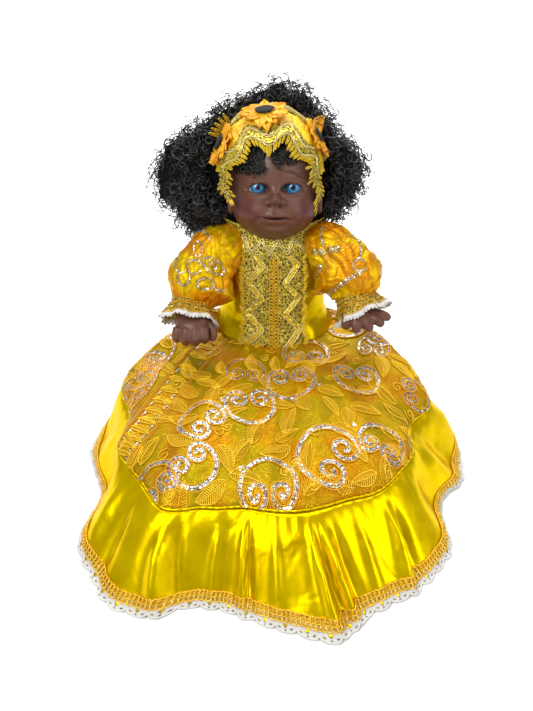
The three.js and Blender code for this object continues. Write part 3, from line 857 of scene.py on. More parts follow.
# %% Ladder of leaves on the doll's right side
border = through([(-75, -54, 0), (-110, -121, 0), (-138, -176, 0), (-159, -205, 0)], 12)
ladder_rails = (-16, -13.5, 13.5, 16)
for side in ladder_rails:
    line = []
    for a, b in zip(border, border[1:]):
        way = (b - a).normalized()
        line.append((a.x - way.y * side, a.y + way.x * side))
    lay_line(line, 1.0, outline_cords)
for k in range(2, len(border) - 1, 3):
    way = border[k + 1] - border[k - 1]
    leaf(border[k].x, border[k].y, degrees(atan2(way.y, way.x)) + 90, 24, 8)
    for side in (-9, 9):
        middle = border[k + 1] + Vector((-way.y, way.x, 0)).normalized() * side
        sequin_band([(middle.x - 1.6, middle.y - 2.2), (middle.x + 1.6, middle.y + 2.2)], 2.0, rims=[])

# %% Loose ovals of sequins
oval_half = 2.6
for x, y, way in oval_spots:
    a, b = oval_half * cos(radians(way)), oval_half * sin(radians(way))
    sequin_band([(x - a, y - b), (x + a, y + b)], 5.4)

# %% Sequins and cords of the skirt
gold_sequin = Look("gold_sequin", Metallic=0.85, Roughness=0.2, Base_Color=(0.9, 0.72, 0.08))
silver = Look("silver_sequin", Metallic=0.7, Roughness=0.34)
sparkle = silver.noise(silver.place(), 0.75, 1.0, 0.5)
glints = ((0.4, (0.1, 0.085, 0.06)), (0.49, (0.34, 0.325, 0.29)), (0.6, (0.82, 0.8, 0.75)))
silver.set(Base_Color=silver.ramp(sparkle, *glints))


# an operator slows down as its mesh grows, so plates are made in small lots
lot = 60


def scatter(name, spots, look, radius):
    """Small round plates at points, each lying along its normal with a little random tilt."""
    bm = bmesh.new()
    for start in range(0, len(spots), lot):
        few = bmesh.new()
        for place, normal in spots[start:start + lot]:
            tilt = Vector((random.gauss(0, 0.12), random.gauss(0, 0.12), random.gauss(0, 0.12)))
            turn = (normal + tilt).to_track_quat("Z", "Y").to_matrix().to_4x4()
            matrix = Matrix.Translation(place) @ turn
            size = radius * random.uniform(0.8, 1.15)
            bmesh.ops.create_circle(few, segments=6, radius=size, cap_ends=True, matrix=matrix)
        mesh = bpy.data.meshes.new("few")
        few.to_mesh(mesh)
        few.free()
        bm.from_mesh(mesh)
        bpy.data.meshes.remove(mesh)
    piece(name, bm, look)


scatter("skirt_sequins", sequins, silver, 1.15)
cords("scroll_cords", outline_cords, 0.7, orange_cord, sides=3)
cords("leaf_cords", leaf_cords, 0.55, leaf_thread, sides=3)
print("sequins", len(sequins), "threads", len(leaf_cords))

# %% Picots
def picot(foot, way, side, length, width):
    """A narrow closed loop of thread that stands out of an edge."""
    line = []
    for step in range(13):
        turn = 2 * pi * step / 12
        along = 0.5 - 0.5 * cos(turn)
        line.append(foot + way * length * along + side * width * sin(turn) * 0.5 * (1.3 - 0.6 * along))
    return line


def picots_along(store, line, ways, length, pitch, width):
    """Picots at even steps on a line, filled by a second one inside each; ways gives where they point."""
    since = pitch
    for k in range(1, len(line)):
        step = line[k] - line[k - 1]
        since += step.length
        if since >= pitch:
            since = 0
            way = ways(k / (len(line) - 1))
            size = length * random.uniform(0.75, 1.15)
            store.append(picot(line[k], way, step.normalized(), size, width))
            store.append(picot(line[k], way, step.normalized(), size * 0.7, width * 0.45))


def always(way):
    return lambda t: way


def out_of(place, edge, inside, back=0.0):
    """The way out of a lace at its edge, from a line inside it and a little further back."""
    return lambda t: (place(t, edge) - place(max(0, t - back), inside)).normalized()


# %% [markdown]
# ## Bodice
#
# The bodice is satin, pulled a little at the waist. It follows the doll's body, an oval at each
# height, and closes over the shoulders, where the collar hides it.

# %% The surface of the body
# height, middle from front to back, half width, half depth
body_sizes = [
    (104.3, -5, 74, 55), (114, -4, 69, 52), (128, -1, 63, 47), (156, 4, 61, 46), (184, 9, 63, 44),
    (204, 13, 61, 40), (217, 15, 56, 36), (227, 17, 47, 31), (234, 18, 37, 27),
]
body_top = body_sizes[-1][0]


def body_size(height):
    """Middle, half width and half depth of the body at a height."""
    k = 0
    while k < len(body_sizes) - 2 and body_sizes[k + 1][0] < height:
        k += 1
    low, high = body_sizes[k], body_sizes[k + 1]
    t = (height - low[0]) / (high[0] - low[0])
    return [lerp(low[i], high[i], t) for i in (1, 2, 3)]


def body_point(angle, height, out=0.0):
    """A point at an angle from the front, out millimetres outside the satin."""
    middle, wide, deep = body_size(height)
    turn = radians(angle)
    reach = out + 1 / hypot(sin(turn) / wide, cos(turn) / deep)
    return Vector((reach * sin(turn), middle - reach * cos(turn), height))


def clear_of_body(point, gap):
    """Pushes a point that is inside the body out to its surface."""
    if not waist_height < point.z < body_top:
        return point
    middle = Vector((0, body_size(point.z)[0], point.z))
    angle = degrees(atan2(point.x, middle.y - point.y))
    edge = body_point(angle, point.z, gap)
    return edge if (point - middle).length < (edge - middle).length else point


# %% Satin bodice
shoulders_from = 0.9


def bodice_place(u, v):
    angle = 360 * u - 180
    if v < shoulders_from:
        height = lerp(waist_height + 0.4, body_top, v / shoulders_from)
        wrinkles = 1.6 * round_noise(angle, 16, height / 9, 1) + 1.2 * round_noise(angle, 7, height / 30, 5)
        return body_point(angle, height, wrinkles * hill(height, 112, 34) - 0.3)
    top = body_point(angle, body_top)
    middle = Vector((1, 19, body_top + 1))
    return top.lerp(middle, 0.55 * (v - shoulders_from) / 0.1)


piece("satin_bodice", ring(110, 44, bodice_place), satin, ["bodice"], thin_cloth)

# %% [markdown]
# ## Gold lace
#
# The lace is woven from flat metal thread, so it is shiny, full of small holes and uneven. The
# ground of it is a thin sheet whose shader shows scrolls and a net; everything that stands up on it,
# such as the zig-zag cords, the braid and the picots, is made as real cords.


# %% Lace front of the bodice
front_half_angle = 43
front_from = waist_height + 1
front_to = 207
front_out = 1.3
print("lace front", round(front_to - front_from), "mm high")


def front_place(u, v):
    height = lerp(front_from, front_to, v)
    half = lerp(front_half_angle - 6, front_half_angle, v)
    edge = 1.2 * sin(radians(height * 30))
    angle = lerp(-half, half, u) + edge * (2 * u - 1) ** 5
    return body_point(angle, height, front_out + 0.35 * noise.noise(Vector((angle / 4, height / 4, 0))))


piece("lace_front", grid(50, 60, front_place), gold_lace, ["plastron"], thin_cloth)

# %% Zig-zag cords on the front
zigzag_from_middle = 25
zigzag_period = 37
zigzag_reach = 7.65
zigzag_out = 3.1


def zigzag(side, shift):
    """A cord that runs down the front in waves, shift degrees from the line of the pair."""
    line = []
    for step in range(100):
        height = lerp(front_to + 1, front_from + 1, step / 99)
        phase = 2 * pi * (front_to - height) / zigzag_period
        wave = sin(phase) - 0.11 * sin(3 * phase)
        angle = side * (zigzag_from_middle + shift + zigzag_reach * wave * side)
        line.append(body_point(angle, height, zigzag_out))
    return line


edges = [zigzag(side, shift) for side in (-1, 1) for shift in (-4, 4)]
cords("front_zigzag", edges, 0.55, pale_cord)
ribbon = [zigzag(side, shift) for side in (-1, 1) for shift in (-1.5, 0, 1.5)]
cords("front_zigzag_ribbon", ribbon, 0.7, gold_cord, sides=4)
front_picots = []
for side in (-1, 1):
    edge = [front_place(0.5 + side * 0.5, k / 120) for k in range(121)]
    picots_along(front_picots, edge, always(Vector((side, -0.1, 0.35)).normalized()), 6, 3.9, 3.4)
cords("front_picots", front_picots, 0.5, gold_cord, sides=4)
# sequins on the ribbon, made with those of the band
random.seed(17)
front_plates = []
for _ in range(260):
    side = random.choice((-1, 1))
    spot = zigzag(side, random.uniform(-3.6, 3.6))[random.randrange(100)]
    front_plates.append((spot + Vector((0, -0.9, 0)), Vector((side * 0.4, -0.9, 0.2))))

# %% Braid down the middle of the front
braid_loops = []
for edge in (-1, 1):
    line = []
    for step in range(260):
        height = lerp(front_to - 1, front_from + 1, step / 259)
        phase = 2 * pi * step / 10
        angle = edge * (2.6 + 2.0 * cos(phase)) + 0.5
        line.append(body_point(angle, height + 1.3 * sin(phase), 3.0 + 0.5 * sin(phase)))
    braid_loops.append(line)
for edge in (-5.3, 6.3):
    braid_loops.append([body_point(edge, lerp(front_to, front_from, k / 40), 2.4) for k in range(41)])
cords("front_braid", braid_loops, 0.55, braid_gold, sides=4)


# %% Collar
collar_from = 206
collar_fold = 226
collar_out = 2.2
fold_share = 0.65


def collar_place(u, v):
    """Lies on the chest up to its fold, then lies on in front and stands up at the sides and behind."""
    angle = 360 * u - 180
    if v <= fold_share:
        return body_point(angle, lerp(collar_from, collar_fold, min(1, v / fold_share)), collar_out)
    rise = (v - fold_share) / 0.35
    turn = radians(angle)
    out = Vector((sin(turn), -cos(turn), 0))
    edge = 1.6 * abs(sin(radians(9 * angle))) * ease(0.8, 1.0, v)
    foot = body_point(angle, collar_fold, collar_out)
    lying = body_point(angle, lerp(collar_fold, body_top - 1, rise), collar_out)
    standing = foot + Vector((0, 0, 14 * rise + edge)) + out * (9 * rise)
    return lying.lerp(standing, ease(48, 80, abs(angle)))


piece("lace_collar", ring(150, 18, collar_place), gold_lace, ["collar"], thin_cloth)

collar_waves = []
for shift in (0.0, 3.0):
    line = []
    for step in range(300):
        angle = -180 + 360 * step / 300
        height = 216 + shift + 5.5 * sin(radians(13 * angle)) - 0.6 * sin(radians(39 * angle))
        line.append(body_point(angle, height, 3.4))
    collar_waves.append(line)
cords("collar_cord", collar_waves, 0.5, pale_cord, sides=3, closed=True)

# %% [markdown]
# ## Puff sleeves and cuffs
#
# A puff sleeve is a wide tube of cloth gathered at the shoulder and at the cuff. It is laid out round
# the line of the arm, pushed clear of the bodice, and ends in a cuff of gold lace with a frill of
# white eyelet lace.

# %% The line of each arm
arm_lines = {
    "right": [(-43, 9, 212), (-67, -14, 203), (-86, -36, 181), (-94, -51, 163)],
    "left": [(43, 9, 212), (67, -14, 207), (88, -36, 187), (92, -50, 169)],
}
palms = {"right": (-91, -76, 154), "left": (96, -73, 162)}
frill_ways = {"right": (-0.1, -0.75, -0.65), "left": (0.4, -0.62, -0.68)}
sleeve_radii = (21, 30, 35, 22)
sleeve_sag = 13


def frames_along(points, steps):
    """Points along a smooth line, each with two directions across it that don't twist."""
    line = through(points, steps)
    found = []
    across = Vector((0, 0, 1)).cross(line[1] - line[0]).normalized()
    for k, point in enumerate(line):
        forwards = (line[min(k + 1, len(line) - 1)] - line[max(k - 1, 0)]).normalized()
        across = (across - forwards * across.dot(forwards)).normalized()
        found.append((point, across, forwards.cross(across), forwards))
    return found


def sleeve_place(side):
    """Where each point of a sleeve's cloth goes, and how many rows of faces it has."""
    stations = frames_along(arm_lines[side], 16)
    count = len(stations) - 1
    hangs = Vector((0.75 if side == "right" else -0.75, 0, -0.65)).normalized()

    def place(u, v):
        point, across, up, forwards = stations[round(v * count)]
        turn = 2 * pi * u
        k = min(2, int(3 * v))
        plain = lerp(sleeve_radii[k], sleeve_radii[k + 1], ease(0, 1, 3 * v - k))
        ends = abs(2 * v - 1) ** 2
        pleats = 1.3 * cos(22 * turn + 3 * sin(3 * turn)) * (0.1 + ends)
        seed = Vector((2.2 * cos(turn), 2.2 * sin(turn), 4 * v + (0 if side == "left" else 9)))
        puffs = 3.4 * noise.noise(seed) + 1.6 * noise.noise(2.1 * seed)
        creases = 6.5 * abs(noise.noise(Vector((1.4 * seed.x, 1.4 * seed.y, 2.2 * seed.z + 5)))) ** 0.7
        way = sin(turn) * across + cos(turn) * up
        sag = sleeve_sag * max(0.0, way.dot(hangs)) ** 2 * hill(v, 0.75, 0.22)
        reach = plain + pleats + (puffs + creases - 2.2) * (1 - ends) + sag
        return clear_of_body(point + reach * way, 2.2)

    return place, count


sleeve_trees = {}
for side in ("right", "left"):
    place, count = sleeve_place(side)
    cloth = ring(120, count, place)
    sleeve_trees[side] = BVHTree.FromBMesh(cloth)
    piece("sleeve_cloth_" + side, cloth, sleeve_net, ["sleeve_" + side], cloth_thickness)

# %% Embroidery of the sleeves
# Motifs are laid from in front and above: a is to the doll's left, b is up the tilted plane.
lay_tilt = 0.652


def sleeve_ground(side):
    """Like on_cloth, for a sleeve and the tilted plane."""
    way = Vector((0, cos(lay_tilt), -sin(lay_tilt)))
    up = Vector((0, sin(lay_tilt), cos(lay_tilt)))

    def at(a, b, out):
        hit, normal, _, _ = sleeve_trees[side].ray_cast(Vector((a, 0, 0)) + up * b - way * 400, way)
        if hit is None:
            return None
        normal = normal if normal.dot(way) < 0 else -normal
        return hit + normal * out, normal

    return at


def arc(a, b, wide, high, start, end, tilt=0.0):
    """Points on an oval, angles in degrees, the oval turned by tilt."""
    line = []
    for k in range(25):
        turn = radians(lerp(start, end, k / 24))
        x, y = wide * cos(turn), high * sin(turn)
        c, s = cos(radians(tilt)), sin(radians(tilt))
        line.append((a + x * c - y * s, b + x * s + y * c))
    return line


random.seed(9)
sleeve_plates, sleeve_rims, sleeve_threads = [], [], []
right = sleeve_ground("right")
left = sleeve_ground("left")
for a, b, wide, high, start, end, tilt, width in (
    (-84, 155, 5, 9, 0, 360, 0, 3.4), (-87, 134, 8, 8, 20, 330, 0, 3.6),
    (-67, 136, 13, 7, 0, 360, -35, 4.2), (-67, 136, 5, 2, 0, 360, -35, 3),
    (-84, 158, 14, 20, 20, 160, 0, 4.3), (-60, 123, 9, 14, 190, 300, 0, 4.3),
    (-100, 143, 10, 16, 120, 260, 0, 3.4), (-99, 122, 7, 7, 90, 380, 0, 3.4),
    (-75, 116, 9, 6, 60, 330, 0, 3.4),
):
    sequin_band(arc(a, b, wide, high, start, end, tilt), width, right, sleeve_plates, sleeve_rims)
for a, b, wide, high, start, end, tilt, width in (
    (50, 152, 6.5, 2.6, 0, 360, -10, 3.4), (50, 152, 3, 0.6, 0, 360, -10, 3.4),
    (66, 154, 6.5, 2.6, 0, 360, 12, 3.4), (66, 154, 3, 0.6, 0, 360, 12, 3.4),
    (58, 169, 5, 12, 100, 250, 0, 3.2), (48, 131, 3, 8, 0, 360, -35, 3.2),
    (88, 157, 8, 20, -60, 70, 0, 3.4), (74, 112, 28, 3, 0, 180, 35, 6.4),
    (94, 136, 7, 7, 30, 340, 0, 3.4),
):
    sequin_band(arc(a, b, wide, high, start, end, tilt), width, left, sleeve_plates, sleeve_rims)
for k in range(16):
    lean = radians(-95 + 9 * k)
    line = [(56 + t * 3 * cos(lean + t * 0.03), 146 + t * 3 * sin(lean + t * 0.03)) for t in range(14)]
    lay_line(line, 0.8, sleeve_threads, left)
for k in range(9):
    line = [(-56 - 5 * k + 0.4 * t, 171 - 4 * t + 3 * sin(t * 0.5 + k)) for t in range(16)]
    lay_line(line, 0.8, sleeve_threads, right)
for _ in range(45):
    for start, end, ground in ((-122, -36, right), (36, 122, left)):
        a, b = random.uniform(start, end), random.uniform(90, 180)
        curl(a, b, random.uniform(0, 360), random.uniform(3, 5), ground, sleeve_threads)
scatter("sleeve_sequins", sleeve_plates, silver, 1.2)
cords("sleeve_cords", sleeve_rims, 0.45, gold_cord, sides=3)
cords("sleeve_threads", sleeve_threads, 0.4, orange_cord, sides=3)


# %% Cuffs
def frill_place(side, rows, waves):
    """A flared ring round the end of the arm: rows give place along, radius and depth of waves."""
    towards = Vector(frill_ways[side]).normalized()
    across = Vector((0, 0, 1)).cross(towards).normalized()
    up = towards.cross(across)
    start = Vector(arm_lines[side][3])

    def place(u, v):
        k = min(len(rows) - 2, int(v * (len(rows) - 1)))
        t = v * (len(rows) - 1) - k
        along, reach, wave = (lerp(a, b, t) for a, b in zip(rows[k], rows[k + 1]))
        turn = 2 * pi * u
        reach += wave * cos(waves * turn) + 0.5 * wave * sin(2.3 * waves * turn + 1)
        along += 0.6 * wave * sin(waves * turn)
        return start + along * towards + reach * (sin(turn) * across + cos(turn) * up)

    return place


cuff_rows = [(-6, 21.5, 0), (2, 21.5, 0.5), (9, 24.5, 1.0), (18.5, 29.8, 2.0)]
cuff_lace_rows = [(16.5, 28.6, 1.8), (22.5, 32, 2.4)]
cuff_waves = 6
for side in ("right", "left"):
    gold = frill_place(side, cuff_rows, cuff_waves)
    lace = frill_place(side, cuff_lace_rows, cuff_waves)
    middle = Vector(arm_lines[side][3])
    piece("cuff_gold_" + side, ring(100, 10, gold), gold_lace, ["cuff_" + side], 1.0)
    rings = []
    for v in (0.12, 0.3, 0.5, 0.62, 0.8, 0.96):
        line = [gold(k / 150, v) for k in range(150)]
        rings.append([p + (p - middle).normalized() * (0.7 + 0.5 * (k % 2)) for k, p in enumerate(line)])
    cords("cuff_cords_" + side, rings, 0.55, orange_cord, sides=3, closed=True)
    picots = []
    line = [lace(k / 240, 1) for k in range(241)]
    picots_along(picots, line, out_of(lace, 1, 0.6), 2.6, 3.6, 2.8)
    cords("cuff_picots_" + side, picots, 0.5, cotton, sides=4)
    cloth = ring(160, 8, lace)
    piece("cuff_eyelet_" + side, cloth, cotton, ["cuff_lace_" + side], thin_cloth)

# %% [markdown]
# ## Vinyl
#
# The head and hands are moulded from soft vinyl and sprayed: dark brown all over, with a
# reddish blush on the cheeks and a satin gloss.

# %% The frame of the head
head_middle = Vector((1, 20, 285))
head_tilt = 20
face_middle = 0.4
print("head leans back by", head_tilt, "degrees")


def from_head(x, y, z):
    """A point of the head's own frame, +Y to the back and +Z up the face, in the doll's frame."""
    tilt = radians(-head_tilt)
    return head_middle + Vector((x, y * cos(tilt) - z * sin(tilt), y * sin(tilt) + z * cos(tilt)))


# %% The face
# half width, half depth and height above the middle, and how far the chin is below it
skull = Vector((50, 54, 60))
jaw_drop = 73
eye_spacing = 18.9
eye_height = -11.5
eye_depth = -33.6
eye_radius = 11.7
lid_half_width = 9.6
upper_lid = 5.5
lower_lid = 4.6


def mouth_height(x):
    """The line between the lips: lowest in the middle, with its left corner turned down."""
    return -42.6 + 0.9 * hill(x, -12, 6) + 0.5 * hill(x, 8, 4) - 3.6 * ease(10, 17, x)


def face_forward(x, z):
    """How far the face stands out of the plain egg of the head."""
    side = abs(x - face_middle)
    # cheeks and the hollows of the eyes
    total = 9.0 * hill(side, 26, 15) * hill(z, -43, 15)
    total -= 3.2 * hill(side, eye_spacing + 1.5, 9) * hill(z, -10.5, 8)
    # bridge, tip and wings of the nose, and the dents under them
    total += 3.0 * hill(side, 0, 5.5) * hill(z, -17.0, 8)
    total += 10.0 * dome(hypot(side / 6.9, (z + 22.4) / (7.2 if z > -22.4 else 6.4)))
    total += 5.0 * dome(hypot((side - 8.3) / 4.2, (z + 25.2) / 4.1))
    total -= 1.4 * hill(side, 5.2, 2.2) * hill(z, -29.0, 1.7)
    # the round of the mouth and the groove from nose to lip
    total += 5.2 * hill(side, 0, 15) * hill(z, -41, 10)
    total += 0.9 * hill(side, 3.4, 1.7) * hill(z, -34.5, 4) - 1.1 * hill(side, 0, 1.5) * hill(z, -34.5, 4)
    # both lips, the line between them and its corners
    total += 2.6 * hill(side, 0, 7.5) * (hill(z, -38.8, 2.2) + hill(z, -46.4, 2.5))
    total -= 4.4 * hill(z, mouth_height(x), 1.05) * (1 - ease(9, 17, side))
    total -= 2.8 * hill(side, 16.5, 3.0) * hill(z, -43.5, 4.5)
    # chin, and the crease above it
    total += 5.4 * hill(side, 0, 13) * hill(z, -58, 7)
    total -= 1.3 * hill(z, -52 + 0.006 * side * side, 2.0) * hill(side, 0, 11)
    return total


def on_face(x, z, out=0.0):
    """A point of the face in the head's own frame."""
    height = skull.z if z > 0 else jaw_drop
    level = max(0.02, 1 - (x / skull.x) ** 2 - (z / height) ** 2)
    return Vector((x, -skull.y * sqrt(level) - face_forward(x, z) - out, z))


def lid_shape(point):
    """Opens the lids: 1 is the rim of an eye's opening, less is inside it."""
    sign = 1 if point.x > face_middle else -1
    across = point.x - face_middle - sign * eye_spacing
    up = point.z - eye_height
    open_half = upper_lid if up > 0 else lower_lid
    level = hypot(across / lid_half_width, up / open_half)
    if level > 2.2 or point.y > -20:
        return point
    ball = max(0.0, (eye_radius + 0.9) ** 2 - across**2 - up**2)
    rim = eye_depth - sqrt(ball)
    if level < 0.86:
        return Vector((point.x, -14, point.z))
    if level < 1.14:
        return Vector((point.x - across * (1 - 1 / level), rim, point.z - up * (1 - 1 / level)))
    y = lerp(rim - 0.5, point.y, ease(1.0, 1.5, level))
    fold = 0.9 * hill(level, 1.62, 0.15) - 0.7 * hill(level, 1.34, 0.18)
    fold *= ease(0.3, 0.9, abs(up) / open_half)
    return Vector((point.x, y + fold, point.z))


def latitude(value):
    """Angle of latitude, with the rows drawn together around the mouth and nose."""
    up = atan2(value, sqrt(max(0.0, 1 - value * value)))
    return up - 0.22 * sin(2 * up + 0.9) * max(0.0, cos(up)) ** 0.5


def head_place(direction):
    """Where a point of a plain ball goes on the head, in the head's own frame."""
    turn = atan2(direction.x, -direction.y)
    turn -= 0.42 * sin(turn)
    up = latitude(direction.z)
    level = cos(up)
    height = sin(up) * (skull.z if up > 0 else jaw_drop)
    x = skull.x * level * sin(turn)
    y = -skull.y * level * cos(turn)
    y -= ease(0, 26, -y) * face_forward(x, height)
    x *= 1 + 0.15 * hill(height, -48, 21) + 0.06 * hill(height, -58, 9)
    return lid_shape(Vector((x, y, height)))


# %% Vinyl with a blush
vinyl = Look("vinyl", Roughness=0.42, Coat_Weight=0.12, Coat_Roughness=0.22, Specular_IOR_Level=0.2)
spot = vinyl.place(at=head_middle, turned=(-head_tilt, 0, 0))
x, y, z = vinyl.split(spot)
front = vinyl.clamp(y, -14.0, -30.0)


def blob(look, x, z, at, size):
    """A soft round spot on the face."""
    across = (x - at[0]) / size[0]
    up = (z - at[1]) / size[1]
    return look.maths("EXPONENT", (across * across + up * up) * -1.0)


shade = vinyl.noise(spot, 0.03, 3.0)
skin = vinyl.mix(shade, (0.088, 0.034, 0.021), (0.118, 0.05, 0.031))
blush = (blob(vinyl, x, z, (-31, -37), (14, 16)) + blob(vinyl, x, z, (34, -37), (11, 14))) * front
skin = vinyl.mix(blush * 0.8, skin, (0.085, 0.015, 0.017))
lips = blob(vinyl, x, z, (face_middle, -42), (11, 5.5)) * front
skin = vinyl.mix(lips * 0.55, skin, (0.15, 0.05, 0.038))
# painted shade: a dark line along the groove between the lips
mouth = blob(vinyl, x, z, (0, -42.9), (13, 1.3)) * front
skin = vinyl.mix(mouth, skin, (0.014, 0.005, 0.004))
# painted shade inside the dents of the nostrils
nostril_shade = (blob(vinyl, x, z, (-4.8, -30), (2, 1.3)) + blob(vinyl, x, z, (5.6, -30), (2, 1.3))) * front
skin = vinyl.mix(nostril_shade * 0.7, skin, (0.02, 0.008, 0.006))
vinyl.set(Base_Color=skin)
vinyl.relief(vinyl.noise(spot, 1.1, 2.0), 0.1)

# %% Head, ears and neck
ear_half = (6, 8, 14)
ear_middle = (49.5, -6, -28)


def ear_place(point, side):
    """An oval flap with a rolled rim and a hollow in its outer face."""
    x, y, z = point
    rim = hypot(y, z)
    hollow = 0.75 * hill(rim, 0.25, 0.42) * max(0.0, x * side)
    x -= side * hollow
    return Vector((x * ear_half[0], y * ear_half[1] * (1.1 + 0.15 * z), z * ear_half[2]))


bm = bmesh.new()
bmesh.ops.create_uvsphere(bm, u_segments=164, v_segments=176, radius=1)
for vertex in bm.verts:
    vertex.co = from_head(*head_place(vertex.co))
for side in (-1, 1):
    made = bmesh.ops.create_uvsphere(bm, u_segments=36, v_segments=24, radius=1)["verts"]
    middle = Vector((face_middle + side * ear_middle[0], ear_middle[1], ear_middle[2]))
    for vertex in made:
        vertex.co = from_head(*(ear_place(vertex.co, side) + middle))
neck_middle = (1, 22, 231)
made = bmesh.ops.create_cone(bm, segments=40, radius1=27, radius2=30, depth=36)["verts"]
bmesh.ops.translate(bm, vec=neck_middle, verts=made)
piece("vinyl_head", bm, vinyl, ["head"])

# %% [markdown]
# ## Eyes
#
# The eyes are set in from behind: a white ball with a printed blue iris under a clear dome. The
# shader measures the distance from the line of sight and paints pupil, iris, dark rim and white.

# %% Inset eyes
lash = Look("lash", Roughness=0.5, Base_Color=(0.01, 0.006, 0.005))
for side, sign, gaze in (("right", -1, (-27, 3)), ("left", 1, (-26, 0))):
    middle = from_head(face_middle + sign * eye_spacing, eye_depth, eye_height)
    eye = Look("eye_" + side, Roughness=0.2, Coat_Weight=0.3, Coat_Roughness=0.03, Specular_IOR_Level=0.3)
    x, y, z = eye.split(eye.place(at=middle, turned=(gaze[0], 0, gaze[1])))
    away = eye.maths("SQRT", x * x + z * z)
    turn = eye.maths("ARCTAN2", x, z)
    streaks = eye.noise(eye.node("CombineXYZ", {}, 0, X=turn * 3.0, Y=away * 0.12, Z=0.0), 3.0, 3.0, 0.7)
    iris = eye.ramp(streaks, (0.3, (0.003, 0.035, 0.1)), (0.7, (0.022, 0.14, 0.28)))
    glow = eye.clamp(eye.maths("ABSOLUTE", away - 4.1), 1.3, 0.2)
    iris = eye.mix(glow * 0.3, iris, (0.07, 0.25, 0.44))
    iris = eye.mix(eye.clamp(away, 6.6, 8.0), iris, (0.002, 0.016, 0.06))
    iris = eye.mix(eye.clamp(away, 2.7, 2.2), iris, (0.004, 0.004, 0.006))
    eye.set(Base_Color=eye.mix(eye.clamp(away, 8.0, 8.5), iris, (0.4, 0.38, 0.37)))
    bm = bmesh.new()
    bmesh.ops.create_uvsphere(bm, u_segments=48, v_segments=32, radius=eye_radius)
    bmesh.ops.translate(bm, vec=middle, verts=bm.verts)
    piece("glass_eye_" + side, bm, eye, ["eye_" + side])
    line = []
    for step in range(25):
        turn = radians(lerp(172, 8, step / 24))
        across, up = lid_half_width * cos(turn), upper_lid * sin(turn)
        depth = eye_depth - sqrt((eye_radius + 1.1) ** 2 - across**2 - up**2)
        line.append(from_head(face_middle + sign * eye_spacing + across, depth, eye_height + up - 0.3))
    cords("lashes_" + side, [line], 0.42, lash)

brow = []
for step in range(14):
    x = 9 + 1.25 * step
    z = 6.0 - 0.03 * (x - 13) ** 2 + 1.2 * sin(step * 2.4)
    stroke = [(x + 1.1 * k, z + (0.55 - 0.09 * step) * k) for k in range(5)]
    brow.append([from_head(*on_face(a, b, 0.15)) for a, b in stroke])
cords("brow_strokes", brow, 0.32, lash, sides=4)

# %% [markdown]
# ## Hands
#
# The hands are cast in one with the forearms. The solids give the place of each finger; a fine
# even net of faces is drawn over them and relaxed, which rounds the fingers as casting does.

# %% An even net over a solid
def remeshed(name, solid, voxel, rounds):
    """A mesh covered with even faces, voxel millimetres apart, and relaxed; a bmesh in millimetres."""
    holder = bpy.data.objects.new(name, solid)
    net = holder.modifiers.new("net", "REMESH")
    net.mode = "VOXEL"
    net.voxel_size = voxel * MM
    even = holder.modifiers.new("even", "SMOOTH")
    even.factor = 0.5
    even.iterations = rounds
    bm = bmesh.new()
    bm.from_mesh(finished_mesh(holder))
    bmesh.ops.scale(bm, vec=(1 / MM, 1 / MM, 1 / MM), verts=bm.verts)
    bm.normal_update()
    return bm


# %% Arms
# half sizes of the back of a hand across, forwards and up, and how far it is in front of the palm
hand_back = (17, 11.5, 9.8)
hand_back_forwards = 7.5
hand_tilt = 14
vinyl_skin = 0.7
turn = Matrix.Rotation(radians(hand_tilt), 4, "X")
for side in ("right", "left"):
    bm = bmesh.new()
    bm.from_mesh(frame["nodes"]["arm_" + side].data)
    middle = Vector(palms[side]) + turn @ Vector((0, -hand_back_forwards, 0))
    shape = Matrix.Translation(middle * MM) @ turn @ Matrix.Diagonal((*(Vector(hand_back) * MM), 1))
    bmesh.ops.create_icosphere(bm, subdivisions=4, radius=1, matrix=shape)
    solid = bpy.data.meshes.new("hand_source_" + side)
    bm.to_mesh(solid)
    bm.free()
    bm = remeshed("hand_source_" + side, solid, 1.0, 20)
    for vertex in bm.verts:
        vertex.co += vertex.normal * vinyl_skin
    piece("vinyl_arm_" + side, bm, vinyl, ["arm_" + side])

# %% [markdown]
# ## Headband
#
# The band is a wide strip of orange fabric, padded a little and tied over the front of the crown.
# Everything on it is placed by its sweep, the angle to either side of the crown, and by its distance
# from the front to the back of the head, so that laces and flowers follow its curve.


# %% The surface of the band
band_middle = -5
band_half = Vector((57, 60, 68))


def on_band(sweep, y, out=0.0):
    """A point out millimetres above the egg that the band lies on."""
    level = sqrt(max(0.02, 1 - (y / band_half.y) ** 2))
    turn = radians(sweep)
    x = band_middle + (band_half.x * level + out) * sin(turn)
    return from_head(x, y + out * y / band_half.y, (band_half.z * level + out) * cos(turn))


def band_front(sweep):
    """How far forward the band's front edge is."""
    return -50 + 10 * hill(abs(sweep), 34, 16) + 20 * ease(58, 92, abs(sweep))


def band_place(u, v):
    sweep = lerp(-86, 86, u)
    y = lerp(band_front(sweep), 4, v)
    wide = 1.5 * noise.noise(Vector((sweep / 9, y / 26, 2)))
    fine = 0.8 * noise.noise(Vector((sweep / 3.5, y / 14, 8)))
    creases = wide + fine
    return on_band(sweep, y, 2.6 + 1.2 * sin(pi * v) + creases * sin(pi * v) ** 0.5)


